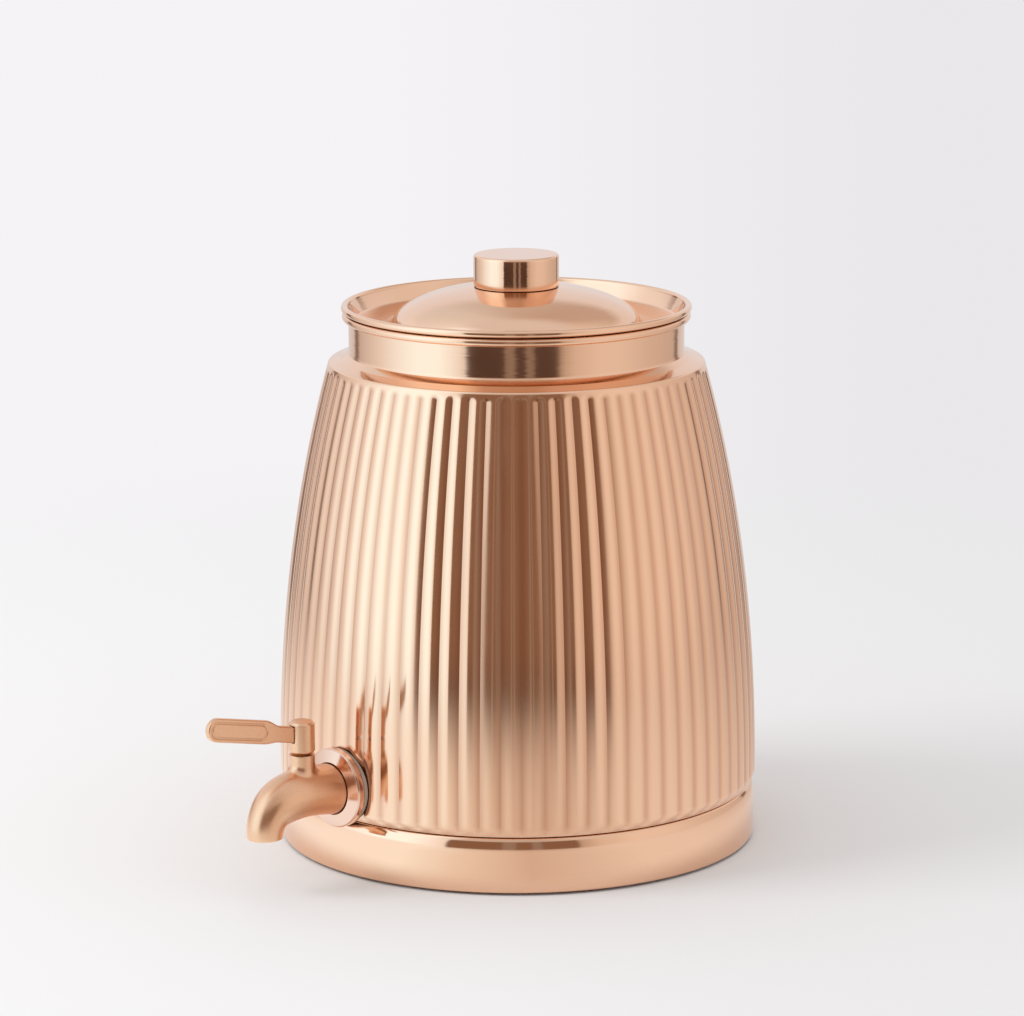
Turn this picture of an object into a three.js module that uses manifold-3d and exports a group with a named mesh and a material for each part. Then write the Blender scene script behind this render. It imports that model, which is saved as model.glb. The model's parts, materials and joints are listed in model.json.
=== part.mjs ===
// Ribbed copper water dispenser with a lift-off lid and a quarter-turn tap, in millimetres.
// The origin is the centre of the base's underside, +Z is up and the tap points along -Y.
import * as THREE from 'three';
import { mergeVertices } from 'three/addons/utils/BufferGeometryUtils.js';
import Module from 'manifold-3d';

const wasm = await Module();
wasm.setup();

// Clearances, turns and step counts that many pieces share
const GAP = 0.3;
const OVERRUN = 1;
const MERGE_DISTANCE = 1e-4;
const QUARTER_TURN = Math.PI / 2;
const HALF_TURN = Math.PI;
const FULL_TURN = 2 * Math.PI;
const RING_STEPS = 48;
const TAP_STEPS = 24;
const SMALL_STEPS = 20;
const TINY_STEPS = 16;

// Base pan: a flat-bottomed spun pan whose lip closes on the barrel
const PAN_R = 120;
const PAN_SHEET = 1.0;
const PAN_EDGE_R = 1.4;
const PAN_STEP_IN = 3.4;
const PAN_STEP_H = 0.9;
const PAN_STEP_SLOPE = 0.5;
const PAN_WALL_TOP = 19.7;
const PAN_LIP_RISE = 8.6;
const PAN_LIP_IN = 2.6;
const PAN_EDGE_STEPS = 3;
const PAN_LIP_STEPS = 3;

// Barrel: 72 raised ribs between the pan's lip and the shoulder
const SHEET = 0.9;
const RIBS = 72;
const POINTS_PER_RIB = 3;
const RIB_DEPTH = 0.65;
const BELLY_OVER_PAN = 0.6;
const BARREL_BOW_SHARE = 2.2;
const RIB_FOOT_OVER_PAN = 0.6;
const RIB_TOP_Z = 241;
const FOOT_IN = 1.9;
const FOOT_ROUND_IN = 0.7;
const FOOT_ROUND_RISE = 2.2;
const FOOT_RISE = 5.6;
const RIB_END = 3.2;
const BARREL_HEIGHT_SHARES = [0.3, 0.52, 0.7, 0.85];
const GROOVE_RISE = 2.6;
const SPIGOT_BOTTOM = 3.5;

// Shoulder and neck, with the mouth rolled outwards over a wire
const NECK_R = 83.7;
const SHOULDER_W = 10.6;
const SHOULDER_RISE = 6.6;
const SHOULDER_IN_SHARES = [0.04, 0.12, 0.78, 0.93];
const SHOULDER_RISE_SHARES = [0.12, 0.21, 0.58, 0.74];
const BEAD_R = 2.05;
const NECK_RISE = 17.45;
const BEAD_TIP_ANGLE = -1.75;
const BEAD_STEPS = 6;
const BEAD_INNER_STEPS = 4;
const WIRE_STEPS = 5;

// Lid: a dish that hangs in the neck by its own rolled edge, with a dome in its middle
const LID_SHEET = 0.8;
const LID_BEAD_R = 1.8;
const LID_BEAD_OVERHANG = 0.5;
const DISH_CLEARANCE = 1.7;
const DISH_DROP = 6.6;
const DISH_SLOPE = 3.1;
const DOME_R = 62.4;
const DOME_H = 20.9;
const DOME_POWER_SHARE = 2.1;
const DOME_FILLET = 2.6;
const DOME_STEPS = 6;
const DOME_UNDER_STEPS = 4;

// Knob: a hollow cap screwed to the dome from below
const KNOB_R = 21.3;
const KNOB_H = 16;
const KNOB_WALL = 1.2;
const KNOB_TOP_EDGE_R = 1.2;
const KNOB_FOOT_EDGE_R = 1.5;
const KNOB_EDGE_STEPS = 2;
const KNOB_STEPS = 32;
const KNOB_SEAT_R = 9.5;
const INSERT_R = 6;
const KNOB_SCREW_R = 1.6;
const KNOB_SCREW_GRIP = 9;
const KNOB_SCREW_HEAD_R = 3.6;
const KNOB_SCREW_HEAD_H = 2.2;
const KNOB_WASHER_R = 8;
const KNOB_WASHER_T = 1;
const DRIVER_SLOT_W = 0.9;
const DRIVER_SLOT_DEPTH = 1.1;

// Tap: heights are from its axis
const TAP_Z = 45;
const SHANK_R = 8;
const SHANK_LENGTH = 18.8;
const TAP_BORE_R = 6.1;
const FLANGE_R = 19.6;
const FLANGE_STAND_OFF = 1.2;
const FLANGE_T = 5.2;
const FLANGE_RIM = 2.8;
const FLANGE_BEVEL_IN = 0.6;
const FLANGE_BEVEL = 0.8;
const FLANGE_SEAT_T = 1.6;
const FLANGE_MOUTH_R = 12.9;
const BODY_ROOT_R = 12.5;

// Spout: a curve from the flange's front to the mouth, with the outer radius at each fifth of it
const SPOUT_REACH = 42;
const SPOUT_DROP = 16;
const SPOUT_BEND_START = 24;
const SPOUT_BEND_LIFT = 3.8;
const SPOUT_BEND_END_LIFT = 1.5;
const SPOUT_MOUTH_R = 8.85;
const SPOUT_R_SHARES = [1, 0.975, 0.955, 0.89, 0.77];
const SPOUT_STEPS = 9;
const SPOUT_WALL = 1.6;
const SPOUT_BORE_FROM_SHARE = 0.5;
const SPOUT_BORE_STEPS = 6;
const SPOUT_THROAT_R = 3.4;

// Valve: a ball between two seats, turned by an upright stem through the boss
const STEM_OUT = 17.6;
const BOSS_R = 6.4;
const BOSS_FOOT_R = 6.8;
const BOSS_FOOT_H = 12;
const BOSS_TOP_H = 21;
const BALL_R = 5.6;
const BALL_PORT_R = 3.2;
const BALL_RINGS = 10;
const SEAT_R = 5.8;
const SEAT_START_ANGLE = 0.45;
const SEAT_LENGTH = 4.1;
const SEAT_ARC_STEPS = 3;
const RETAINER_LENGTH = 9;
const RETAINER_BORE_R = 3.6;
const STEM_R = 2.7;
const STEM_TOP_R = 2.2;
const STEM_OVER_BOSS = 10.5;
const STEM_COLLAR_R = 4.2;
const STEM_COLLAR_H = 1.4;
const STEM_COLLAR_BOTTOM = 6.7;
const THRUST_WASHER_T = 0.8;
const TONGUE_W = 2.2;
const TONGUE_BOTTOM = 4.5;
const O_RING_R = 0.5;
const O_RING_DEPTHS = [8.4, 4.2];
const O_RING_STEPS = 5;

// Seals and fixings that clamp the tap to the barrel's wall
const OUTER_GASKET_R = 19.3;
const CLAMP_R = 13;
const INNER_GASKET_T = 3;
const BACK_WASHER_T = 1.5;
const LOCK_NUT_ACROSS = 22;
const LOCK_NUT_SIDES = 6;
const LOCK_NUT_T = 5.2;

// Handle: a round hub on the stem and a flat lever with a racetrack groove on each face
const HUB_R = 6.4;
const HUB_FOOT_R = 5.6;
const HUB_FOOT_CHAMFER = 1;
const HUB_OVER_BOSS = 0.9;
const HUB_H = 15.5;
const HUB_TOP_CHAMFER = 1.2;
const HUB_TOP_R = 5.3;
const LEVER_OVER_HUB_FOOT = 9.1;
const LEVER_RISE = THREE.MathUtils.degToRad(12.3);
const LEVER_T = 3.2;
const LEVER_LENGTH = 60.5;
const PADDLE_HALF = 5.8;
const NECK_HALF = 4;
const NECK_LOWER = 0.6;
const LEVER_ROOT = 4.4;
const NECK_END = 15;
const PADDLE_START = 24.5;
const LEVER_END_STEPS = 10;
const LEVER_FLARE_STEPS = 3;
const GROOVE_INSET = 1.5;
const GROOVE_W = 1.3;
const GROOVE_DEPTH = 0.4;
const GROOVE_STEPS = 6;
const GRUB_R = 1.5;
const GRUB_OVER_HUB_FOOT = 4.6;
const STOP_PIN_R = 0.7;
const STOP_PIN_OUT = 4.4;
const STOP_PIN_DEPTH = 4;
const STOP_PIN_RISE = 2;
const STOP_ARC_STEPS = 6;
const HANDLE_TRAVEL = QUARTER_TURN;

// Finishes
const polishedCopper = new THREE.MeshStandardMaterial({ color: 0xd9a07c, roughness: 0.18, metalness: 1 });
const satinCopper = new THREE.MeshStandardMaterial({ color: 0xc98d6a, roughness: 0.38, metalness: 1 });
const brass = new THREE.MeshStandardMaterial({ color: 0xc9a45c, roughness: 0.35, metalness: 1 });
const steel = new THREE.MeshStandardMaterial({ color: 0xb9bcc0, roughness: 0.3, metalness: 1 });
const silicone = new THREE.MeshStandardMaterial({ color: 0x9b8678, roughness: 0.8, metalness: 0 });
const seatPlastic = new THREE.MeshStandardMaterial({ color: 0xeeeae2, roughness: 0.5, metalness: 0 });

// A closed solid from a geometry, with shared corners merged and collapsed triangles left out
function solid(geometry) {
  const bare = geometry.clone();
  bare.deleteAttribute('normal');
  bare.deleteAttribute('uv');
  const merged = mergeVertices(bare, MERGE_DISTANCE);
  const index = merged.getIndex().array;
  const kept = [];
  for (let i = 0; i < index.length; i += 3) {
    const [a, b, c] = index.slice(i, i + 3);
    if (a !== b && b !== c && c !== a) kept.push(a, b, c);
  }
  return new wasm.Manifold(new wasm.Mesh({
    numProp: 3,
    vertProperties: new Float32Array(merged.getAttribute('position').array),
    triVerts: new Uint32Array(kept),
  }));
}

function mesh(name, body, material) {
  const { vertProperties, triVerts } = body.getMesh();
  const geometry = new THREE.BufferGeometry();
  geometry.setAttribute('position', new THREE.BufferAttribute(vertProperties, 3));
  geometry.setIndex(new THREE.BufferAttribute(triVerts, 1));
  geometry.computeVertexNormals();
  const piece = new THREE.Mesh(geometry, material);
  piece.name = name;
  return piece;
}

// Whole numbers from 0 to count - 1
function range(count) {
  return Array.from({ length: count }, (_, i) => i);
}

function mix(from, to, share) {
  return from + (to - from) * share;
}

// Points [radius, height] of a round stretch of an outline
function arc(centreR, centreH, radius, from, to, steps) {
  return range(steps + 1).map((i) => {
    const angle = mix(from, to, i / steps);
    return [centreR + radius * Math.cos(angle), centreH + radius * Math.sin(angle)];
  });
}

// An outline moved sideways by a wall's thickness, to the left of its direction
function offset(outline, distance) {
  return outline.map(([r, h], i) => {
    const here = new THREE.Vector2(r, h);
    const before = new THREE.Vector2(...outline[Math.max(i - 1, 0)]);
    const after = new THREE.Vector2(...outline[Math.min(i + 1, outline.length - 1)]);
    const arriving = (i > 0 ? here.clone().sub(before) : after.clone().sub(here)).normalize();
    const leaving = (i < outline.length - 1 ? after.clone().sub(here) : arriving.clone()).normalize();
    const normal = arriving.clone().add(leaving).normalize();
    const mitre = distance / normal.dot(arriving);
    return [r - normal.y * mitre, h + normal.x * mitre];
  });
}

// A body of revolution about Y. The outline runs up its outer side, and closes on itself or the axis.
function upright(outline, steps, start = 0) {
  const points = outline.map(([r, h]) => new THREE.Vector2(r, h));
  if (points[0].x > 0 || points.at(-1).x > 0) points.push(points[0].clone());
  return new THREE.LatheGeometry(points, steps, start);
}

// The same about Z
function turned(outline, steps, start = 0) {
  return upright(outline, steps, start).rotateX(QUARTER_TURN);
}

function rod(radius, bottom, top) {
  return [[0, bottom], [radius, bottom], [radius, top], [0, top]];
}

function tube(inner, outer, bottom, top) {
  return [[inner, bottom], [outer, bottom], [outer, top], [inner, top]];
}

function box(width, height, depth, x, y, z) {
  return new THREE.BoxGeometry(width, height, depth).translate(x, y, z);
}

function plate(shape, thickness) {
  return new THREE.ExtrudeGeometry(shape, { depth: thickness, bevelEnabled: false, curveSegments: 1 });
}

function shapeOf(points) {
  return new THREE.Shape(points.map(([x, y]) => new THREE.Vector2(x, y)));
}

// Joins closed rings of points in order into one skin. Neighbouring rings may differ in count.
function skin(rings, closed) {
  const starts = [];
  const corners = [];
  rings.forEach((ring) => {
    starts.push(corners.length / 3);
    ring.forEach((point) => corners.push(point.x, point.y, point.z));
  });
  const index = [];
  const bands = closed ? rings.length : rings.length - 1;
  range(bands).forEach((k) => {
    const next = (k + 1) % rings.length;
    const lower = rings[k].length;
    const upper = rings[next].length;
    let i = 0;
    let j = 0;
    while (i < lower || j < upper) {
      const a = starts[k] + (i % lower);
      const b = starts[next] + (j % upper);
      if (j >= upper || (i < lower && (i + 1) / lower <= (j + 1) / upper)) {
        index.push(a, starts[k] + ((i + 1) % lower), b);
        i += 1;
      } else {
        index.push(a, starts[next] + ((j + 1) % upper), b);
        j += 1;
      }
    }
  });
  if (!closed) {
    [0, rings.length - 1].forEach((k) => {
      const count = rings[k].length;
      range(count - 2).forEach((i) => {
        const fan = [starts[k], starts[k] + i + 1, starts[k] + i + 2];
        index.push(...(k === 0 ? fan.reverse() : fan));
      });
    });
  }
  const geometry = new THREE.BufferGeometry();
  geometry.setAttribute('position', new THREE.Float32BufferAttribute(corners, 3));
  geometry.setIndex(index);
  return geometry;
}

// Places that follow from the sizes. Those along the tap's axis are from the vessel's axis.
const lipTop = PAN_WALL_TOP + PAN_LIP_RISE;
const bellyR = PAN_R + BELLY_OVER_PAN;
const barrelTopR = NECK_R + SHOULDER_W;
const ribFootZ = lipTop + RIB_FOOT_OVER_PAN;
const neckFootZ = RIB_TOP_Z + SHOULDER_RISE;
const beadZ = neckFootZ + NECK_RISE;
const beadTop = beadZ + BEAD_R;
const mouthR = NECK_R - SHEET;
const beadCentreR = mouthR + BEAD_R;
const flangeBack = bellyR + FLANGE_STAND_OFF;
const flangeSeat = flangeBack + FLANGE_SEAT_T;
const flangeFront = flangeBack + FLANGE_T;
const shankEnd = flangeBack - SHANK_LENGTH;
const stemS = flangeFront + STEM_OUT;
const stemTopH = BOSS_TOP_H + STEM_OVER_BOSS;
const hubBottomH = BOSS_TOP_H + HUB_OVER_BOSS;
const hubTopH = hubBottomH + HUB_H;
const leverH = hubBottomH + LEVER_OVER_HUB_FOOT;
const grubH = hubBottomH + GRUB_OVER_HUB_FOOT;
const oRingHeights = O_RING_DEPTHS.map((depth) => BOSS_TOP_H - depth);

// The barrel's radius over the ribs' crests, bowed by a power of the height
const barrelH = RIB_TOP_Z - ribFootZ;
const barrelRows = [
  { z: ribFootZ, crest: bellyR - FOOT_IN, rib: 0 },
  { z: ribFootZ + FOOT_ROUND_RISE, crest: bellyR - FOOT_ROUND_IN, rib: RIB_DEPTH / 2 },
  ...[FOOT_RISE / barrelH, ...BARREL_HEIGHT_SHARES, 1 - RIB_END / barrelH].map((share) => ({
    z: mix(ribFootZ, RIB_TOP_Z, share),
    crest: mix(bellyR, barrelTopR, share ** BARREL_BOW_SHARE),
    rib: RIB_DEPTH,
  })),
  { z: RIB_TOP_Z, crest: barrelTopR, rib: 0 },
].map((row) => ({ ...row, r: row.crest - row.rib, steps: RIBS * POINTS_PER_RIB }));

// The ribs' crest radius at a height, along the straight stretches between the rows
function crestAt(z) {
  const above = Math.max(1, barrelRows.findIndex((row) => row.z >= z));
  const [low, high] = [barrelRows[above - 1], barrelRows[above]];
  return mix(low.crest, high.crest, (z - low.z) / (high.z - low.z));
}

const seam = -HALF_TURN / RIBS;
const spigotR = PAN_R - PAN_SHEET - GAP;
const grooveR = PAN_R - PAN_LIP_IN - PAN_SHEET - GAP;

// One ring of the vessel's skin: a rib bulges outwards from the valley radius
function vesselRing({ r, z, rib = 0, steps = RING_STEPS }) {
  return range(steps).map((i) => {
    const across = 1 - (2 * (i % POINTS_PER_RIB)) / POINTS_PER_RIB;
    const angle = seam - QUARTER_TURN + (FULL_TURN * i) / steps;
    const radius = r + rib * (1 - across ** 2);
    return new THREE.Vector3(radius * Math.cos(angle), radius * Math.sin(angle), z);
  });
}

function vesselBody() {
  const foot = [
    { r: spigotR, z: SPIGOT_BOTTOM },
    { r: spigotR, z: PAN_WALL_TOP - PAN_SHEET },
    { r: grooveR, z: PAN_WALL_TOP + GROOVE_RISE - PAN_SHEET },
    { r: grooveR, z: lipTop + GAP },
  ];
  const shoulder = SHOULDER_IN_SHARES.map((share, i) => ({
    r: mix(barrelTopR, NECK_R, share),
    z: mix(RIB_TOP_Z, neckFootZ, SHOULDER_RISE_SHARES[i]),
    steps: RIBS,
  }));
  const neck = [
    { r: NECK_R, z: neckFootZ, steps: RIBS },
    { r: NECK_R, z: beadZ },
  ];
  const ribbed = barrelRows.filter(({ rib }) => rib > 0);
  const wall = [...foot, ...ribbed, ...shoulder, ...neck].map(({ r, z }) => [r, z]);
  const inner = offset(wall, SHEET).reverse();
  const roll = [
    ...arc(beadCentreR, beadZ, BEAD_R - SHEET, HALF_TURN, BEAD_TIP_ANGLE, BEAD_INNER_STEPS).slice(1),
    ...arc(beadCentreR, beadZ, BEAD_R, BEAD_TIP_ANGLE, HALF_TURN, BEAD_STEPS).slice(0, -1),
  ];
  const outer = [...foot, ...barrelRows, ...shoulder, ...neck];
  const rings = [...outer, ...[...roll, ...inner].map(([r, z]) => ({ r, z }))].map(vesselRing);
  const hole = turned(rod(SHANK_R + 2 * GAP, shankEnd, flangeFront), SMALL_STEPS);
  hole.rotateX(QUARTER_TURN).translate(0, 0, TAP_Z);
  return solid(skin(rings, true)).subtract(solid(hole));
}

function neckBeadWire() {
  const wireR = BEAD_R - SHEET - GAP;
  const outline = arc(beadCentreR, beadZ, wireR, 0, FULL_TURN, WIRE_STEPS).slice(0, -1);
  return solid(turned(outline, RING_STEPS, seam));
}

function basePan() {
  const restR = PAN_R - PAN_STEP_IN;
  const edgeZ = PAN_STEP_H + PAN_EDGE_R;
  const underside = [[0, 0], [restR, 0], [restR + PAN_STEP_SLOPE, PAN_STEP_H]];
  const edge = arc(PAN_R - PAN_EDGE_R, edgeZ, PAN_EDGE_R, -QUARTER_TURN, 0, PAN_EDGE_STEPS);
  const lip = range(PAN_LIP_STEPS + 1).map((i) => {
    const angle = (QUARTER_TURN * i) / PAN_LIP_STEPS;
    return [PAN_R - PAN_LIP_IN * (1 - Math.cos(angle)), PAN_WALL_TOP + PAN_LIP_RISE * Math.sin(angle)];
  });
  const inside = [
    [PAN_R - PAN_LIP_IN - PAN_SHEET, lipTop - PAN_SHEET / 2],
    ...lip.slice(0, -1).reverse().map(([r, z]) => [r - PAN_SHEET, z]),
    [PAN_R - PAN_SHEET, edgeZ],
    [PAN_R - PAN_EDGE_R, PAN_STEP_H + PAN_SHEET],
    [restR, PAN_STEP_H + PAN_SHEET],
    [restR - PAN_STEP_SLOPE, PAN_SHEET],
    [0, PAN_SHEET],
  ];
  return solid(turned([...underside, ...edge, ...lip, ...inside], RING_STEPS, seam));
}

// Lid heights follow from the neck's bead, on which the lid's bead rests
const lidBeadZ = beadTop + GAP + LID_BEAD_R;
const lidBeadCentreR = beadCentreR + BEAD_R + LID_BEAD_OVERHANG - LID_BEAD_R;
const dishR = mouthR - DISH_CLEARANCE - LID_SHEET;
const dishZ = lidBeadZ - DISH_DROP;
const domeFootZ = dishZ - DISH_SLOPE;

function domeHeight(radius, reach, rise) {
  return rise * (1 - (radius / reach) ** DOME_POWER_SHARE) ** (1 / DOME_POWER_SHARE);
}

// The dome's line from its foot to a flat seat round the hole for the knob's screw
function domeLine(reach, rise, steps) {
  const radii = range(steps).map((i) => reach * Math.cos((QUARTER_TURN * i) / steps));
  const line = [...radii, KNOB_SEAT_R].map((r) => [r, domeFootZ + domeHeight(r, reach, rise)]);
  return [...line, [KNOB_SCREW_R + GAP, line.at(-1)[1]]];
}

function lidPan() {
  const top = [
    [dishR, dishZ],
    [DOME_R + DOME_FILLET, domeFootZ],
    [DOME_R + DOME_FILLET / 4, domeFootZ + DOME_FILLET / 4],
    ...domeLine(DOME_R, DOME_H, DOME_STEPS).slice(1),
  ];
  const under = [
    ...domeLine(DOME_R - LID_SHEET, DOME_H - LID_SHEET, DOME_UNDER_STEPS).slice(1).reverse(),
    [DOME_R, domeFootZ - LID_SHEET],
    [dishR + LID_SHEET / 2, dishZ - LID_SHEET],
    [dishR + LID_SHEET, dishZ],
  ];
  const roll = [
    ...arc(lidBeadCentreR, lidBeadZ, LID_BEAD_R - LID_SHEET, HALF_TURN, BEAD_TIP_ANGLE, BEAD_INNER_STEPS),
    ...arc(lidBeadCentreR, lidBeadZ, LID_BEAD_R, BEAD_TIP_ANGLE, HALF_TURN, BEAD_STEPS),
  ];
  return solid(turned([...under, ...roll, ...top], RING_STEPS, seam));
}

const knobFoot = domeFootZ + domeHeight(KNOB_R - KNOB_WALL, DOME_R, DOME_H) + GAP;
const knobTop = knobFoot + KNOB_H;
const domeTop = domeFootZ + domeHeight(KNOB_SEAT_R, DOME_R, DOME_H);
const domeUnder = domeFootZ + domeHeight(KNOB_SEAT_R, DOME_R - LID_SHEET, DOME_H - LID_SHEET);

function lidKnob() {
  const foot = arc(KNOB_R - KNOB_FOOT_EDGE_R, knobFoot + KNOB_FOOT_EDGE_R, KNOB_FOOT_EDGE_R,
    -QUARTER_TURN, 0, KNOB_EDGE_STEPS);
  const head = arc(KNOB_R - KNOB_TOP_EDGE_R, knobTop - KNOB_TOP_EDGE_R, KNOB_TOP_EDGE_R,
    0, QUARTER_TURN, KNOB_EDGE_STEPS);
  const inside = [
    [0, knobTop - KNOB_WALL],
    [KNOB_R - KNOB_WALL, knobTop - KNOB_WALL],
    [KNOB_R - KNOB_WALL, knobFoot + KNOB_FOOT_EDGE_R],
    [KNOB_R - KNOB_FOOT_EDGE_R, knobFoot + KNOB_FOOT_EDGE_R / 2],
  ];
  return solid(turned([[0, knobTop], ...inside, ...foot, ...head], KNOB_STEPS));
}

function knobInsert() {
  const outline = tube(KNOB_SCREW_R + GAP, INSERT_R, domeTop + GAP, knobTop - KNOB_WALL - GAP);
  return solid(turned(outline, TINY_STEPS));
}

function knobWasher() {
  const top = domeUnder - GAP;
  return solid(turned(tube(KNOB_SCREW_R + GAP, KNOB_WASHER_R, top - KNOB_WASHER_T, top), SMALL_STEPS));
}

function knobScrew() {
  const seat = domeUnder - 2 * GAP - KNOB_WASHER_T;
  const head = seat - KNOB_SCREW_HEAD_H;
  const outline = [
    [0, head], [KNOB_SCREW_HEAD_R, head], [KNOB_SCREW_HEAD_R, seat],
    [KNOB_SCREW_R, seat], [KNOB_SCREW_R, domeTop + KNOB_SCREW_GRIP], [0, domeTop + KNOB_SCREW_GRIP],
  ];
  const slotHeight = DRIVER_SLOT_DEPTH + OVERRUN;
  const slot = box(2 * (KNOB_SCREW_HEAD_R + OVERRUN), DRIVER_SLOT_W, slotHeight,
    0, 0, head + DRIVER_SLOT_DEPTH - slotHeight / 2);
  return solid(turned(outline, TINY_STEPS)).subtract(solid(slot));
}

// The tap's pieces lie in a frame with +Z outwards along its axis, +Y up and X across
function tapFlange() {
  const outline = [
    [SHANK_R + GAP, flangeBack],
    [FLANGE_R, flangeBack],
    [FLANGE_R, flangeBack + FLANGE_RIM],
    [FLANGE_R - FLANGE_BEVEL_IN, flangeBack + FLANGE_RIM + FLANGE_BEVEL],
    [FLANGE_MOUTH_R, flangeFront],
    [FLANGE_MOUTH_R, flangeSeat],
    [SHANK_R + GAP, flangeSeat],
  ];
  return solid(turned(outline, TAP_STEPS));
}

// A washer whose back follows the base pan's lip and the ribs' crests
function tapOuterGasket() {
  const reach = OUTER_GASKET_R + OVERRUN;
  const ribFoot = ribFootZ - TAP_Z;
  const wall = [
    [0, -reach],
    [PAN_R + GAP, -reach],
    [PAN_R + GAP, ribFoot],
    [bellyR + GAP, ribFoot + FOOT_ROUND_RISE],
    [bellyR + GAP, ribFoot + FOOT_RISE],
    [crestAt(TAP_Z + reach) + GAP, reach],
    [0, reach],
  ];
  const ring = tube(SHANK_R + GAP, OUTER_GASKET_R, shankEnd, flangeBack - GAP);
  return solid(turned(ring, TAP_STEPS)).subtract(solid(upright(wall, RIBS, seam)));
}

const clampTopR = crestAt(TAP_Z + CLAMP_R) - RIB_DEPTH - SHEET;
const innerWallR = clampTopR * Math.cos(HALF_TURN / RING_STEPS) - GAP;
const innerGasketBack = Math.sqrt(innerWallR ** 2 - CLAMP_R ** 2) - INNER_GASKET_T;
const backWasherBack = innerGasketBack - GAP - BACK_WASHER_T;
const lockNutBack = backWasherBack - GAP - LOCK_NUT_T;

function tapInnerGasket() {
  const ring = tube(SHANK_R + GAP, CLAMP_R, innerGasketBack, flangeBack);
  const reach = CLAMP_R + OVERRUN;
  const inside = upright(rod(innerWallR, -reach, reach), RIBS, seam);
  return solid(turned(ring, TAP_STEPS)).intersect(solid(inside));
}

function tapBackWasher() {
  const outline = tube(SHANK_R + GAP, CLAMP_R, backWasherBack, backWasherBack + BACK_WASHER_T);
  return solid(turned(outline, TAP_STEPS));
}

function tapLockNut() {
  const hexagon = rod(LOCK_NUT_ACROSS / Math.sqrt(3), lockNutBack, lockNutBack + LOCK_NUT_T);
  const bore = rod(SHANK_R + GAP, lockNutBack - OVERRUN, lockNutBack + LOCK_NUT_T + OVERRUN);
  return solid(turned(hexagon, LOCK_NUT_SIDES)).subtract(solid(turned(bore, SMALL_STEPS)));
}

const spoutCurve = new THREE.CubicBezierCurve3(
  new THREE.Vector3(0, 0, flangeFront),
  new THREE.Vector3(0, SPOUT_BEND_LIFT, flangeFront + SPOUT_BEND_START),
  new THREE.Vector3(0, SPOUT_BEND_END_LIFT, flangeFront + SPOUT_REACH),
  new THREE.Vector3(0, -SPOUT_DROP, flangeFront + SPOUT_REACH),
);

function spoutRadius(share) {
  const radii = [...SPOUT_R_SHARES.map((part) => part * BODY_ROOT_R), SPOUT_MOUTH_R];
  const place = share * (radii.length - 1);
  const low = Math.min(Math.floor(place), radii.length - 2);
  return mix(radii[low], radii[low + 1], place - low);
}

// A ring of points round a centre, with one diameter along X and the other along up
function ringAbout(centre, up, radius, steps) {
  return range(steps).map((i) => {
    const angle = (FULL_TURN * i) / steps;
    return centre.clone()
      .addScaledVector(up, radius * Math.sin(angle))
      .add(new THREE.Vector3(radius * Math.cos(angle), 0, 0));
  });
}

// A round section square to the tap's axis
function levelRing(along, radius, steps) {
  return ringAbout(new THREE.Vector3(0, 0, along), new THREE.Vector3(0, 1, 0), radius, steps);
}

// A round section of the spout, square to its curve
function spoutRing(share, radius, steps) {
  const tangent = spoutCurve.getTangent(share);
  return ringAbout(spoutCurve.getPoint(share), new THREE.Vector3(0, tangent.z, -tangent.y), radius, steps);
}

// The bore inside the spout, from the ball's front seat to past the mouth
function spoutBore() {
  const throat = [stemS, stemS + seatFar + OVERRUN]
    .map((along) => levelRing(along, SPOUT_THROAT_R, SMALL_STEPS));
  const bend = range(SPOUT_BORE_STEPS).map((i) => {
    const part = (i + 1) / SPOUT_BORE_STEPS;
    const share = mix(SPOUT_BORE_FROM_SHARE, 1, part);
    const radius = mix(SPOUT_THROAT_R, SPOUT_MOUTH_R - SPOUT_WALL, Math.sin(QUARTER_TURN * part));
    return spoutRing(share, radius, SMALL_STEPS);
  });
  const mouth = bend.at(-1).map((point) => point.clone().add(new THREE.Vector3(0, -OVERRUN, 0)));
  return solid(skin([...throat, ...bend, mouth], false));
}

const seatNear = (BALL_R + GAP) * Math.sin(SEAT_START_ANGLE);
const seatFar = seatNear + SEAT_LENGTH;
const pocketTop = STEM_COLLAR_BOTTOM + STEM_COLLAR_H + THRUST_WASHER_T + 2 * GAP;

function tapBody() {
  const spoutRings = range(SPOUT_STEPS + 1).map((i) => {
    const share = i / SPOUT_STEPS;
    return spoutRing(share, spoutRadius(share), TAP_STEPS);
  });
  const root = levelRing(flangeSeat + GAP, BODY_ROOT_R, TAP_STEPS);
  const spout = solid(skin([root, ...spoutRings], false));
  const shank = solid(turned(rod(SHANK_R, shankEnd, stemS), TAP_STEPS));
  const boss = upright([
    [0, 0], [BOSS_FOOT_R, 0], [BOSS_FOOT_R, BOSS_FOOT_H], [BOSS_R, BOSS_TOP_H], [0, BOSS_TOP_H],
  ], TAP_STEPS).translate(0, 0, stemS);
  const bore = turned(rod(TAP_BORE_R, shankEnd - OVERRUN, stemS + seatFar + GAP), SMALL_STEPS);
  const stemHole = upright([
    [0, 0], [STEM_COLLAR_R + GAP, 0], [STEM_COLLAR_R + GAP, pocketTop],
    [STEM_R + GAP, pocketTop], [STEM_R + GAP, BOSS_TOP_H + OVERRUN], [0, BOSS_TOP_H + OVERRUN],
  ], SMALL_STEPS).translate(0, 0, stemS);
  const pinRod = rod(STOP_PIN_R + GAP, BOSS_TOP_H - STOP_PIN_DEPTH - GAP, BOSS_TOP_H + OVERRUN);
  const pinHole = upright(pinRod, TINY_STEPS).translate(0, 0, stemS - STOP_PIN_OUT);
  return spout.add(shank).add(solid(boss)).subtract(solid(bore)).subtract(solid(stemHole))
    .subtract(solid(pinHole)).subtract(spoutBore());
}

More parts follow.
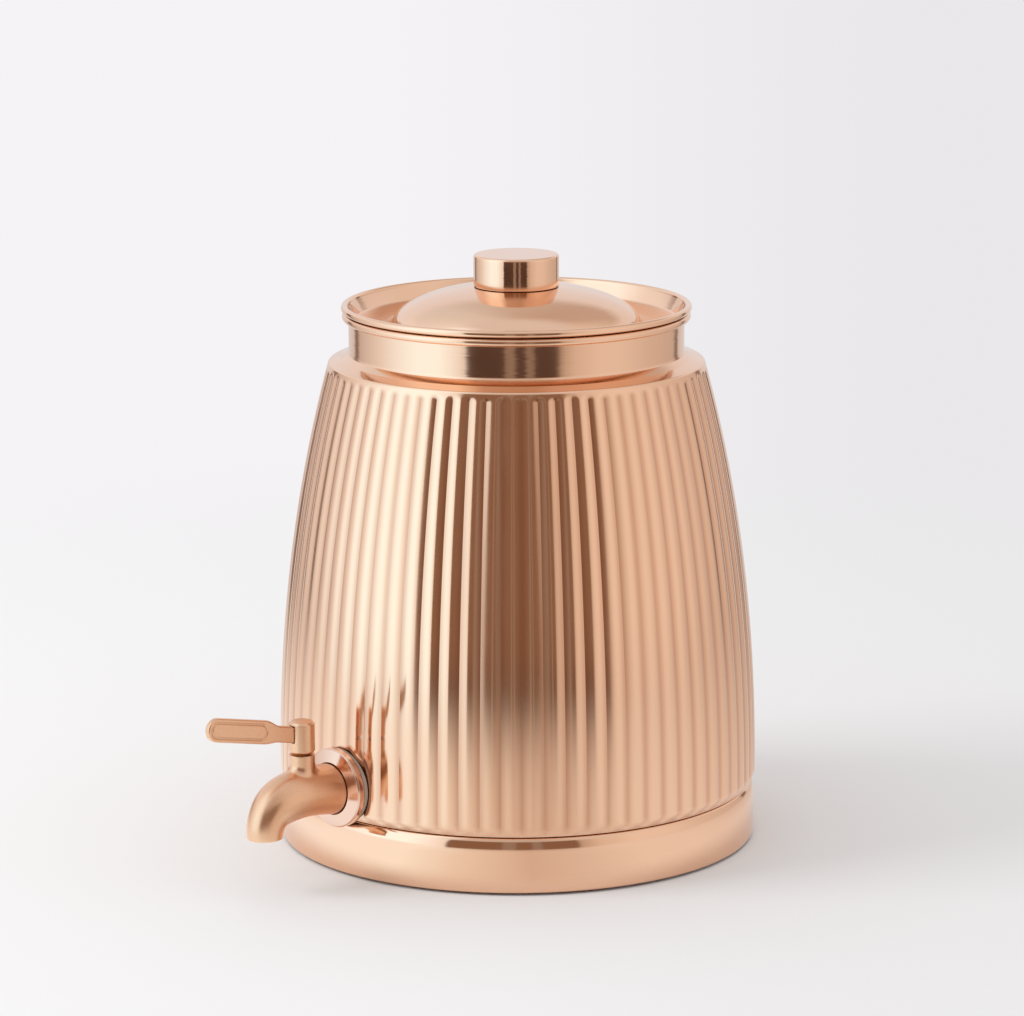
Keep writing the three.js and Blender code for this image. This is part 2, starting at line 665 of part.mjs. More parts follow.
// A seat ring whose inner end follows the ball
function valveSeat(side) {
  const arcEnd = Math.acos(BALL_PORT_R / (BALL_R + GAP));
  const halfStep = (arcEnd - SEAT_START_ANGLE) / (2 * SEAT_ARC_STEPS);
  const faceR = (BALL_R + GAP) / Math.cos(halfStep);
  const face = arc(0, 0, faceR, SEAT_START_ANGLE, arcEnd, SEAT_ARC_STEPS).reverse();
  const outline = [...face, [SEAT_R, face.at(-1)[1]], [SEAT_R, seatFar], [face[0][0], seatFar]];
  const ring = turned(outline, SMALL_STEPS);
  if (side < 0) ring.rotateX(HALF_TURN);
  return solid(ring.translate(0, 0, stemS));
}

function seatRetainer() {
  const front = stemS - seatFar - GAP;
  return solid(turned(tube(RETAINER_BORE_R, SEAT_R, front - RETAINER_LENGTH, front), SMALL_STEPS));
}

function valveBall() {
  const outline = arc(0, 0, BALL_R, -QUARTER_TURN, QUARTER_TURN, BALL_RINGS);
  outline[0][0] = 0;
  outline[BALL_RINGS][0] = 0;
  const port = turned(rod(BALL_PORT_R, -BALL_R - OVERRUN, BALL_R + OVERRUN), TINY_STEPS);
  const slotHeight = BALL_R + OVERRUN - TONGUE_BOTTOM + GAP;
  const slotMiddle = TONGUE_BOTTOM - GAP + slotHeight / 2;
  const slot = box(2 * (BALL_R + OVERRUN), slotHeight, TONGUE_W + 2 * GAP, 0, slotMiddle, 0);
  const ball = solid(upright(outline, SMALL_STEPS)).subtract(solid(port)).subtract(solid(slot));
  return ball.translate([0, 0, stemS]);
}

function valveStem() {
  const grooveR = STEM_R + GAP / 2 - 2 * O_RING_R - GAP;
  const grooves = oRingHeights.flatMap((height) => {
    const half = O_RING_R + GAP;
    const [low, high] = [height - half, height + half];
    return [[STEM_R, low], [grooveR, low], [grooveR, high], [STEM_R, high]];
  });
  const collarTop = STEM_COLLAR_BOTTOM + STEM_COLLAR_H;
  const outline = [
    [0, STEM_COLLAR_BOTTOM], [STEM_COLLAR_R, STEM_COLLAR_BOTTOM],
    [STEM_COLLAR_R, collarTop], [STEM_R, collarTop],
    ...grooves,
    [STEM_R, BOSS_TOP_H], [STEM_TOP_R, BOSS_TOP_H], [STEM_TOP_R, stemTopH], [0, stemTopH],
  ];
  const tongueLength = 2 * (seatNear - GAP);
  const tongueHeight = STEM_COLLAR_BOTTOM + STEM_COLLAR_H / 2 - TONGUE_BOTTOM;
  const tongue = box(tongueLength, tongueHeight, TONGUE_W, 0, TONGUE_BOTTOM + tongueHeight / 2, 0);
  return solid(upright(outline, TINY_STEPS)).add(solid(tongue)).translate([0, 0, stemS]);
}

function stemORing(height) {
  const centreR = STEM_R + GAP / 2 - O_RING_R;
  const outline = arc(centreR, height, O_RING_R, 0, FULL_TURN, O_RING_STEPS).slice(0, -1);
  return solid(upright(outline, TINY_STEPS).translate(0, 0, stemS));
}

function stemThrustWasher() {
  const bottom = STEM_COLLAR_BOTTOM + STEM_COLLAR_H + GAP;
  const outline = tube(STEM_R + GAP, STEM_COLLAR_R, bottom, bottom + THRUST_WASHER_T);
  return solid(upright(outline, SMALL_STEPS).translate(0, 0, stemS));
}

function stopPin() {
  const outline = rod(STOP_PIN_R, BOSS_TOP_H - STOP_PIN_DEPTH, BOSS_TOP_H + STOP_PIN_RISE);
  return solid(upright(outline, TINY_STEPS).translate(0, 0, stemS - STOP_PIN_OUT));
}

// The arc under the hub in which the stop pin stays while the handle turns clockwise to shut
function stopArc() {
  const clear = STOP_PIN_R + GAP;
  const slack = Math.asin(clear / STOP_PIN_OUT) + Math.asin(GAP / STOP_PIN_OUT);
  const from = -QUARTER_TURN - HANDLE_TRAVEL - slack;
  const to = -QUARTER_TURN + slack;
  const outer = (STOP_PIN_OUT + clear) / Math.cos((to - from) / (2 * STOP_ARC_STEPS));
  const points = [
    ...arc(0, 0, outer, from, to, STOP_ARC_STEPS),
    ...arc(0, 0, STOP_PIN_OUT - clear, to, from, STOP_ARC_STEPS),
  ];
  const height = BOSS_TOP_H + STOP_PIN_RISE + GAP - hubBottomH + OVERRUN;
  return plate(shapeOf(points), height).rotateX(QUARTER_TURN)
    .translate(0, hubBottomH - OVERRUN + height, 0);
}

function handleHub() {
  const hub = solid(upright([
    [0, hubBottomH], [HUB_FOOT_R, hubBottomH], [HUB_R, hubBottomH + HUB_FOOT_CHAMFER],
    [HUB_R, hubTopH - HUB_TOP_CHAMFER], [HUB_TOP_R, hubTopH], [0, hubTopH],
  ], TAP_STEPS));
  const stemHole = upright(rod(STEM_TOP_R + GAP, hubBottomH - OVERRUN, stemTopH + GAP), TINY_STEPS);
  const grubHole = turned(rod(GRUB_R + GAP, 0, HUB_R + OVERRUN), TINY_STEPS);
  grubHole.rotateX(HALF_TURN).translate(0, grubH, 0);
  const slotLength = HUB_R + OVERRUN - LEVER_ROOT + GAP;
  const slotMiddle = LEVER_ROOT - GAP + slotLength / 2;
  const slot = box(LEVER_T + 2 * GAP, 2 * (NECK_HALF + GAP), slotLength, 0, -NECK_LOWER, slotMiddle);
  slot.rotateX(-LEVER_RISE).translate(0, leverH, 0);
  return hub.subtract(solid(stemHole)).subtract(solid(grubHole)).subtract(solid(slot))
    .subtract(solid(stopArc())).translate([0, 0, stemS]);
}

function handleGrubScrew() {
  const outline = rod(GRUB_R, STEM_TOP_R + 2 * GAP, HUB_R - GAP);
  const screw = turned(outline, TINY_STEPS).rotateX(HALF_TURN);
  return solid(screw.translate(0, grubH, stemS));
}

// A racetrack outline: two straight sides and round ends
function racetrack(from, to, half, steps) {
  return [
    ...arc(to - half, 0, half, -QUARTER_TURN, QUARTER_TURN, steps),
    ...arc(from + half, 0, half, QUARTER_TURN, QUARTER_TURN + HALF_TURN, steps),
  ];
}

// The lever lies in the plane of the outline [along, up] and is as thick as the plate
function handleLever() {
  const flare = range(LEVER_FLARE_STEPS + 1).map((i) => {
    const share = i / LEVER_FLARE_STEPS;
    return [mix(NECK_END, PADDLE_START, share), (1 - Math.cos(HALF_TURN * share)) / 2];
  });
  const lower = flare.map(([along, rise]) => [along, mix(-NECK_HALF - NECK_LOWER, -PADDLE_HALF, rise)]);
  const upper = flare.map(([along, rise]) => [along, mix(NECK_HALF - NECK_LOWER, PADDLE_HALF, rise)]);
  const outline = [
    [LEVER_ROOT, -NECK_HALF - NECK_LOWER],
    ...lower,
    ...arc(LEVER_LENGTH - PADDLE_HALF, 0, PADDLE_HALF, -QUARTER_TURN, QUARTER_TURN, LEVER_END_STEPS),
    ...upper.reverse(),
    [LEVER_ROOT, NECK_HALF - NECK_LOWER],
  ];
  const blade = solid(plate(shapeOf(outline), LEVER_T).translate(0, 0, -LEVER_T / 2));
  const from = PADDLE_START - GROOVE_INSET;
  const to = LEVER_LENGTH - GROOVE_INSET;
  const half = PADDLE_HALF - GROOVE_INSET;
  const track = shapeOf(racetrack(from, to, half, GROOVE_STEPS));
  track.holes.push(shapeOf(racetrack(from + GROOVE_W, to - GROOVE_W, half - GROOVE_W, GROOVE_STEPS)));
  const cut = plate(track, GROOVE_DEPTH + OVERRUN);
  const front = solid(cut.clone().translate(0, 0, LEVER_T / 2 - GROOVE_DEPTH));
  const back = solid(cut.translate(0, 0, -LEVER_T / 2 - OVERRUN));
  return blade.subtract(front).subtract(back);
}

const vessel = new THREE.Group();
vessel.add(
  mesh('vessel_body', vesselBody(), polishedCopper),
  mesh('neck_bead_wire', neckBeadWire(), brass),
  mesh('base_pan', basePan(), polishedCopper),
);

const lid = new THREE.Group();
lid.add(
  mesh('lid_pan', lidPan(), polishedCopper),
  mesh('lid_knob', lidKnob(), polishedCopper),
  mesh('knob_insert', knobInsert(), brass),
  mesh('knob_washer', knobWasher(), steel),
  mesh('knob_screw', knobScrew(), steel),
);

const lever = mesh('handle_lever', handleLever(), satinCopper);
lever.rotation.order = 'XYZ';
lever.rotation.set(-LEVER_RISE, -QUARTER_TURN, 0);
lever.position.set(0, leverH, stemS);

const tap = new THREE.Group();
tap.rotation.x = QUARTER_TURN;
tap.position.z = TAP_Z;
tap.add(
  mesh('tap_flange', tapFlange(), polishedCopper),
  mesh('tap_outer_gasket', tapOuterGasket(), silicone),
  mesh('tap_inner_gasket', tapInnerGasket(), silicone),
  mesh('tap_back_washer', tapBackWasher(), steel),
  mesh('tap_lock_nut', tapLockNut(), brass),
  mesh('tap_body', tapBody(), satinCopper),
  mesh('valve_seat_front', valveSeat(1), seatPlastic),
  mesh('valve_seat_back', valveSeat(-1), seatPlastic),
  mesh('seat_retainer', seatRetainer(), brass),
  mesh('valve_ball', valveBall(), steel),
  mesh('valve_stem', valveStem(), brass),
  mesh('stem_o_ring_lower', stemORing(oRingHeights[0]), silicone),
  mesh('stem_o_ring_upper', stemORing(oRingHeights[1]), silicone),
  mesh('stem_thrust_washer', stemThrustWasher(), seatPlastic),
  mesh('stop_pin', stopPin(), steel),
  mesh('handle_hub', handleHub(), satinCopper),
  mesh('handle_grub_screw', handleGrubScrew(), steel),
  lever,
);

const dispenser = new THREE.Group();
dispenser.add(vessel, lid, tap);

export default dispenser;
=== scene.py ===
"""Ribbed copper water dispenser: the spun vessel, its base band, its lid and its quarter-turn
tap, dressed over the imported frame. Lengths are in millimetres until a mesh is made, and the
tap's own pieces use [across, height above its axis, distance from the vessel's axis]."""
import json
import math

import bmesh
import bpy
import numpy as np
from mathutils import Matrix


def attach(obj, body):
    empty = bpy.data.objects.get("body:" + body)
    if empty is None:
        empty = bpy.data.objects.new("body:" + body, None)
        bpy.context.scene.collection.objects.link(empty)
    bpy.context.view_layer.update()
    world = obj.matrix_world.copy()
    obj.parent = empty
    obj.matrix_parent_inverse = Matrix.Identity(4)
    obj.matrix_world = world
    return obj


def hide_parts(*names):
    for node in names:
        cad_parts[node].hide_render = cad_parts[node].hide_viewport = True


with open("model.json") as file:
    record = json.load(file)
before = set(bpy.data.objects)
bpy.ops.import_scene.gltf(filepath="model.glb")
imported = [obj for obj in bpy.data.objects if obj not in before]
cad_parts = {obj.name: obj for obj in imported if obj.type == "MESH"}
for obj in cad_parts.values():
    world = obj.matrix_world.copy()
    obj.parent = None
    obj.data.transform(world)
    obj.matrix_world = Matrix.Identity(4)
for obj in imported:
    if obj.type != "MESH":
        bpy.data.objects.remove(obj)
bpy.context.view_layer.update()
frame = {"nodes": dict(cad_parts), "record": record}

MM = 0.001
FULL = 2 * np.pi
# The space left between pieces, and how far a cutter reaches past a face that it opens
GAP = 0.3
PAST = 1

# Camera: where it stands in front of the vessel, and how the vessel is turned to it
AZIMUTH = math.radians(46.4)
CAMERA_ASIDE = -2.5
CAMERA_BACK = 2100
CAMERA_UP = 608.6
CAMERA_PITCH = math.radians(11.89)
CAMERA_ROLL = math.radians(-0.185)
CAMERA_LENS = 150
CAMERA_SENSOR = 36
CAMERA_FAR = 50

# Base pan
PAN_R = 120
PAN_SHEET = 1.0
PAN_EDGE_R = 1.4
PAN_STEP_IN = 3.4
PAN_STEP_H = 0.9
PAN_STEP_SLOPE = 0.5
PAN_WALL_TOP = 19.7
PAN_LIP_RISE = 8.6
PAN_LIP_IN = 2.6

# Barrel and its ribs. The steps are where a rib's wall is worked out, from one valley at -1 over
# the crest at 0 towards the next valley.
SHEET = 0.9
RIBS = 72
RIB_STEPS = [-1, -0.97, -0.85, -0.65, -0.45, -0.28, -0.13, 0, 0.13, 0.28, 0.45, 0.65, 0.85, 0.97]
RIB_DEPTH = 0.65
RIB_FLATNESS = 3
BELLY_R = 120.6
BARREL_TOP_R = 94.3
BARREL_BOW = 2.2
RIB_FOOT_Z = 28.9
RIB_TOP_Z = 241
FOOT_IN = 1.9
FOOT_RISE = 5.6
RIB_END = 3.2
LAST_STRETCH = 1
SPIGOT_BOTTOM = 3.5
SPIGOT_STEP = 1.6
INSIDE_START = 2

# Shoulder, neck and rolled mouth
NECK_R = 83.7
NECK_FOOT_Z = 247.6
NECK_FOOT_R = 1
SHOULDER_EDGE_IN = 0.35
SHOULDER_EDGE_RISE = 1.2
SHOULDER_EDGE_R = 1.6
SHOULDER_END_R = 84.9
SHOULDER_END_DROP = 2.3
SHOULDER_FILLET_R = 2.6
BEAD_R = 2.05
BEAD_Z = 265.05
BEAD_TIP = -1.75

# Lid and knob
LID_SHEET = 0.8
LID_BEAD_R = 1.8
LID_BEAD_OUTER_R = 87.4
DISH_R = 80.3
DISH_DROP = 6.6
DISH_SLOPE = 3.1
DISH_FILLET_R = 1.6
DOME_R = 62.4
DOME_H = 20.9
DOME_POWER = 2.1
DOME_CROWDING = 0.8
DOME_UNDER_IN = 0.2
DOME_FILLET = 2.6
DOME_FILLET_IN = 0.37
KNOB_R = 21.3
KNOB_H = 16
KNOB_WALL = 1.2
KNOB_TOP_EDGE_R = 1.4
KNOB_FOOT_EDGE_R = 0.4
KNOB_INNER_EDGE_R = 0.3
KNOB_SCREW_HOLE_R = 1.9
KNOB_GAP = 0.08

# Tap
TAP_Z = 45
SHANK_R = 8
SHANK_END = 103
TAP_BORE_R = 6.1
TAP_BORE_END = 151.5
FLANGE_R = 19.6
FLANGE_BACK = 121.8
FLANGE_RIM = 2.8
FLANGE_BEVEL_IN = 0.6
FLANGE_BEVEL = 0.8
FLANGE_FRONT = 127
FLANGE_SEAT = 123.4
FLANGE_MOUTH_R = 12.9
FLANGE_EDGE_R = 0.3
GASKET_R = 19.3
GASKET_MIDDLE_R = 14
GASKET_EDGE = 0.3
BELLY_STEP = 1.3
ROOT_R = 12.5
SPOUT_CURVE = [[0, 127], [3.8, 151], [1.5, 169], [-16, 169]]
SPOUT_R_SHARES = [1, 0.975, 0.955, 0.89, 0.77, 0.708]
SPOUT_COLUMNS = 72
SPOUT_WALL = 1.6
SPOUT_LIP_R = 0.5
THROAT_R = 3.4
THROAT_RUN = 0.5
BEND_START = 0.5
STEM_S = 144.6
BOSS_R = 6.4
BOSS_FLARE_R = 9.6
BOSS_FLARE_RISE = 3.4
BOSS_FOOT_SUNK = 0.12
BOSS_NEAR_RISE = 0.1
BOSS_ROOT_IN = 1.5
BOSS_ROOT_DROP = 3
BOSS_TOP_H = 21
BOSS_EDGE_R = 0.4
STEM_HOLE_R = 3
COLLAR_HOLE_R = 4.5
COLLAR_HOLE_TOP = 9.5
PIN_HOLE_R = 1
PIN_HOLE_DEPTH = 4.3
PIN_OUT = 4.4

# Handle
HUB_R = 6.4
HUB_FOOT_R = 5.6
HUB_FOOT_CHAMFER = 1
HUB_FOOT_EDGE_R = 0.2
HUB_SIDE_EDGE_R = 0.4
HUB_SHOULDER_EDGE_R = 0.5
HUB_BOTTOM_H = 21.9
HUB_SHOULDER_H = 36.2
HUB_TOP_H = 37.4
HUB_TOP_R = 5.3
HUB_DOME = 0.35
HUB_DOME_IN = 0.3
HUB_STEM_HOLE_R = 2.5
HUB_STEM_HOLE_TOP = 31.8
PIN_RISE = 2
PIN_R = 0.7
GRUB_HOLE_R = 1.8
GRUB_H = 26.5
LEVER_H = 31
LEVER_RISE = math.radians(12.3)
LEVER_T = 3.2
LEVER_EDGE_R = 0.8
LEVER_LENGTH = 60.5
PADDLE_HALF = 5.8
NECK_HALF = 4
NECK_LOWER = 0.6
LEVER_ROOT = 4.4
LEVER_NECK_END = 15
PADDLE_START = 24.5
GROOVE_INSET = 1.5
GROOVE_W = 1.3
GROOVE_DEPTH = 0.4


# Surfaces

def corner_arc(before, corner, after, radius, steps):
    """A round of the given radius in place of a corner: both sides are met where they touch a
    circle, whose centre lies on the bisector."""
    before, corner, after = (np.array(p, float) for p in (before, corner, after))
    a = (before - corner) / np.linalg.norm(before - corner)
    b = (after - corner) / np.linalg.norm(after - corner)
    half = math.acos(np.clip(a @ b, -1, 1)) / 2
    centre = corner + (a + b) / np.linalg.norm(a + b) * radius / math.sin(half)
    start = corner + a * radius / math.tan(half) - centre
    end = corner + b * radius / math.tan(half) - centre
    sweep = np.pi - 2 * half
    t = np.linspace(0, 1, steps + 1)[:, None]
    return centre + (np.sin((1 - t) * sweep) * start + np.sin(t * sweep) * end) / math.sin(sweep)


def outline(corners, closed=False, steps=5):
    """A line through corners [a, b, radius], with each corner that has a radius rounded."""
    corners = [(*c, 0)[:3] for c in corners]
    count = len(corners)
    points = []
    for i, (a, b, radius) in enumerate(corners):
        if radius and (closed or 0 < i < count - 1):
            before, after = corners[i - 1][:2], corners[(i + 1) % count][:2]
            points.extend(corner_arc(before, (a, b), after, radius, steps))
        else:
            points.append(np.array([a, b], float))
    return np.array(points)


def arc(centre, radius, start, end, steps):
    """Points on a circle: centre + radius (cos a, sin a), with a from start to end."""
    a = np.linspace(start, end, steps + 1)
    return np.stack([centre[0] + radius * np.cos(a), centre[1] + radius * np.sin(a)], axis=1)


def rolled_edge(centre, radius, sheet, steps_inside):
    """A sheet rolled to a bead: up its inside to the tip, and back round its outside."""
    return np.concatenate([
        arc(centre, radius - sheet, np.pi, BEAD_TIP, steps_inside),
        arc(centre, radius, BEAD_TIP, np.pi, steps=16),
    ])


def left_of(line):
    """The way to the left of a closed line at each point, square to its neighbours' chord."""
    step = np.roll(line, -1, axis=0) - np.roll(line, 1, axis=0)
    side = np.stack([-step[:, 1], step[:, 0]], 1)
    return side / np.linalg.norm(side, axis=1, keepdims=True)


def refine(line, longest):
    """The same line with long stretches split evenly, so that no step is over the longest."""
    parts = [line[:1]]
    for a, b in zip(line[:-1], line[1:]):
        count = max(1, math.ceil(np.linalg.norm(b - a) / longest))
        parts.append(a + (b - a) * np.linspace(0, 1, count + 1)[1:, None])
    return np.concatenate(parts)


def once_round(columns):
    """Evenly spaced angles once round."""
    return np.linspace(0, FULL, columns, endpoint=False)


def polar(radius, angle, height):
    """Points at a radius and an angle about the upright axis: (r cos a, r sin a, h)."""
    return np.stack(np.broadcast_arrays(radius * np.cos(angle), radius * np.sin(angle), height), -1)


def lathe(line, columns):
    """Each point [r, h] of a line carried round the upright axis."""
    line = np.array(line, float)
    return polar(line[:, :1], once_round(columns), line[:, 1:])


def along_tap(points):
    """A shape about Z turned to lie about the tap's axis: its height becomes distance outwards."""
    x, y, along = np.moveaxis(points, -1, 0)
    return np.stack([x, -along, TAP_Z + y], -1)


def on_stem(points, toward_vessel=0):
    """An upright shape moved to stand on the stem's axis, heights measured from the tap's axis."""
    return points + np.array([0, toward_vessel - STEM_S, TAP_Z])


def new_object(name, data):
    """An object that holds the data, in the scene."""
    thing = bpy.data.objects.new(name, data)
    bpy.context.scene.collection.objects.link(thing)
    return thing


def make(name, points, loop=False):
    """A mesh object from a grid [row, column, xyz] in millimetres. Each cell is a quad, columns
    meet round the back, and rows meet too where the line is a loop. Equal points are merged."""
    rows, columns = points.shape[:2]
    index = np.arange(rows * columns).reshape(rows, columns)
    low = index if loop else index[:-1]
    high = np.roll(index, -1, axis=0) if loop else index[1:]
    quads = np.stack([low, np.roll(low, -1, axis=1), np.roll(high, -1, axis=1), high], -1).reshape(-1, 4)
    mesh = bpy.data.meshes.new(name)
    mesh.from_pydata((points.reshape(-1, 3) * MM).tolist(), [], quads.tolist())
    shape = bmesh.new()
    shape.from_mesh(mesh)
    bmesh.ops.remove_doubles(shape, verts=shape.verts, dist=1e-7)
    bmesh.ops.recalc_face_normals(shape, faces=shape.faces)
    shape.to_mesh(mesh)
    shape.free()
    return new_object(name, mesh)


def rod(radius, low, high, columns=48):
    """A plain round bar: the line out, up and back in, carried round the upright axis."""
    return lathe([[0, low], [radius, low], [radius, high], [0, high]], columns)


def apply_modifier(thing, kind, **settings):
    """Replaces the object's mesh by what a modifier makes of it."""
    step = thing.modifiers.new(kind, kind)
    for name, value in settings.items():
        setattr(step, name, value)
    done = bpy.data.meshes.new_from_object(thing.evaluated_get(bpy.context.evaluated_depsgraph_get()))
    thing.modifiers.clear()
    thing.data = done


def combine(solid, tool, operation):
    """A Boolean of the solid with the tool, which is then removed."""
    apply_modifier(solid, "BOOLEAN", operation=operation, solver="EXACT", object=tool)
    bpy.data.objects.remove(tool)


def finish_piece(thing, body, nodes, material, sharp=38):
    """Smooth shading up to an angle, with normals that favour the larger faces, the finish, and
    what the piece rides on and stands for."""
    mesh = thing.data
    mesh.materials.clear()
    mesh.materials.append(material)
    mesh.polygons.foreach_set("material_index", np.zeros(len(mesh.polygons), np.int32))
    mesh.polygons.foreach_set("use_smooth", np.ones(len(mesh.polygons), bool))
    mesh.set_sharp_from_angle(angle=math.radians(sharp))
    apply_modifier(thing, "WEIGHTED_NORMAL", keep_sharp=True)
    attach(thing, body)
    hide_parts(*nodes)


# Materials

def linear(code):
    """An sRGB hex value as linear red, green and blue, with alpha 1."""
    srgb = np.array([int(code[i:i + 2], 16) for i in (1, 3, 5)]) / 255
    value = np.where(srgb <= 0.04045, srgb / 12.92, ((srgb + 0.055) / 1.055) ** 2.4)
    return (*value.tolist(), 1.0)


def add(tree, kind, sockets=None, **settings):
    """A shader node with its settings, and its sockets set to a value or linked from another
    socket or from a node's first output."""
    made = tree.nodes.new("ShaderNode" + kind)
    for name, value in settings.items():
        setattr(made, name, value)
    for name, value in (sockets or {}).items():
        if isinstance(value, bpy.types.Node):
            value = value.outputs[0]
        if isinstance(value, bpy.types.NodeSocket):
            tree.links.new(value, made.inputs[name])
        else:
            made.inputs[name].default_value = value
    return made


def new_material(name):
    """An empty material, its node tree and its output."""
    material = bpy.data.materials.new(name)
    material.use_nodes = True
    tree = material.node_tree
    tree.nodes.clear()
    return material, tree, add(tree, "OutputMaterial")


# How narrow the painted shade down the rib valleys is, and where it has run out above
VALLEY_SHADE_POWER = 2.6
VALLEY_SHADE_TOP_Z = RIB_TOP_Z - LAST_STRETCH
# Sizes in millimetres: the rings that wander, round the axis and in height, the grain of a
# lightly blasted face, and the duller patches of polish
RING_MM = (25, 25, 5 / 7)
GRAIN_MM = 0.5
PATCH_MM = 100 / 3
# Painted shade in creases: where something stands closer than this in millimetres, the copper is painted
# this brown
CREASE_SHADE_REACH = 2.5
CREASE_SHADE_COLOUR = "#6A3A22"


def valley_shade_share(tree, x, y, z):
    """How much painted shade a place takes from lying near a rib's valley:
    ((1 - cos(ribs * angle)) / 2) ** power, fading out towards both ends of the ribs."""
    angle = add(tree, "Math", {0: y, 1: x}, operation="ARCTAN2")
    turns = add(tree, "Math", {0: angle, 1: RIBS}, operation="MULTIPLY")
    wave = add(tree, "Math", {0: turns}, operation="COSINE")
    deep = add(tree, "MapRange", {"Value": wave, "From Min": 1, "From Max": -1})
    share = add(tree, "Math", {0: deep, 1: VALLEY_SHADE_POWER}, operation="POWER")
    for end, inside in ((RIB_FOOT_Z, RIB_FOOT_Z + FOOT_RISE), (VALLEY_SHADE_TOP_Z, RIB_TOP_Z - RIB_END)):
        fade = add(tree, "MapRange", {"Value": z, "From Min": end * MM, "From Max": inside * MM})
        share = add(tree, "Math", {0: share, 1: fade}, operation="MULTIPLY")
    return share


def copper(name, colour, roughness, line_mm, line_depth, wander=0.0, about_tap=False, grain=0.0,
           valley_shade=None):
    """Polished copper that was turned or spun. Fine lines run round the axis, so a noise is read
    at [radius, height], which is the same all the way round. Above the ribs the spun rings also
    wander a little sideways, which frays the upright edges of what they mirror. Polishing leaves
    patches a little duller than others. Painted shade: in tight creases and gaps, where ambient
    occlusion finds something close, the colour is painted brown, and a browner colour can be
    painted down the ribs' valleys than on their crests."""
    material, tree, output = new_material(name)
    where = add(tree, "TexCoord").outputs["Object"]
    if about_tap:
        where = add(tree, "Mapping", {
            "Vector": where, "Location": (0, -TAP_Z * MM, 0), "Rotation": (-np.pi / 2, 0, 0),
        }, vector_type="POINT")
    x, y, z = add(tree, "SeparateXYZ", {0: where}).outputs
    flat = add(tree, "CombineXYZ", {0: x, 1: y})
    radius = add(tree, "VectorMath", {0: flat}, operation="LENGTH").outputs["Value"]
    line = add(tree, "CombineXYZ", {0: radius, 2: z})
    lines = add(tree, "TexNoise", {
        "Vector": line, "Scale": 1 / (line_mm * MM), "Detail": 2, "Roughness": 0.6,
    })
    height = lines.outputs["Fac"]
    if grain:
        specks = add(tree, "TexNoise", {"Vector": where, "Scale": 1 / (GRAIN_MM * MM), "Detail": 2})
        height = add(tree, "Math", {0: specks.outputs["Fac"], 1: grain, 2: height}, operation="MULTIPLY_ADD")
    normal = add(tree, "Bump", {"Height": height, "Strength": 1, "Distance": line_depth * MM})
    if wander:
        minus_y = add(tree, "Math", {0: y, 1: -1}, operation="MULTIPLY")
        round_way = add(tree, "CombineXYZ", {0: minus_y, 1: x})
        side = add(tree, "VectorMath", {0: round_way}, operation="NORMALIZE")
        ring_scale = [1 / (size * MM) for size in RING_MM]
        ring = add(tree, "VectorMath", {0: where, 1: ring_scale}, operation="MULTIPLY")
        rings = add(tree, "TexNoise", {"Vector": ring, "Scale": 1, "Detail": 3})
        reach = add(tree, "MapRange", {
            "Value": z, "From Min": RIB_TOP_Z * MM, "From Max": NECK_FOOT_Z * MM, "To Max": wander,
        })
        lean = add(tree, "Math", {0: rings.outputs["Fac"], 1: 0.5}, operation="SUBTRACT")
        turn = add(tree, "Math", {0: lean, 1: reach}, operation="MULTIPLY")
        shift = add(tree, "VectorMath", {0: side, 3: turn}, operation="SCALE")
        moved = add(tree, "VectorMath", {0: normal, 1: shift}, operation="ADD")
        normal = add(tree, "VectorMath", {0: moved}, operation="NORMALIZE")
    patches = add(tree, "TexNoise", {"Vector": where, "Scale": 1 / (PATCH_MM * MM), "Detail": 3})
    dull = add(tree, "MapRange", {
        "Value": patches.outputs["Fac"], "From Min": 0.3, "From Max": 0.7,
        "To Min": roughness * 0.85, "To Max": roughness * 1.2,
    })
    # Painted shade: ambient occlusion turns the colour towards brown in tight creases and gaps
    open_sky = add(tree, "AmbientOcclusion", {"Distance": CREASE_SHADE_REACH * MM}, samples=6)
    crease_shade_mask = add(tree, "MapRange", {"Value": open_sky.outputs["AO"], "From Min": 0.08, "From Max": 0.45})
    clear = linear(colour)
    if valley_shade:
        # Painted shade: a browner colour down the middle of each rib valley
        valley_shade_mask = valley_shade_share(tree, x, y, z)
        clear = add(tree, "MixRGB", {0: valley_shade_mask, 1: clear, 2: linear(valley_shade)})
    tint = add(tree, "MixRGB", {0: crease_shade_mask, 1: linear(CREASE_SHADE_COLOUR), 2: clear})
    shader = add(tree, "BsdfPrincipled", {
        "Base Color": tint, "Metallic": 1, "Roughness": dull, "Normal": normal,
    })
    tree.links.new(shader.outputs[0], output.inputs[0])
    return material


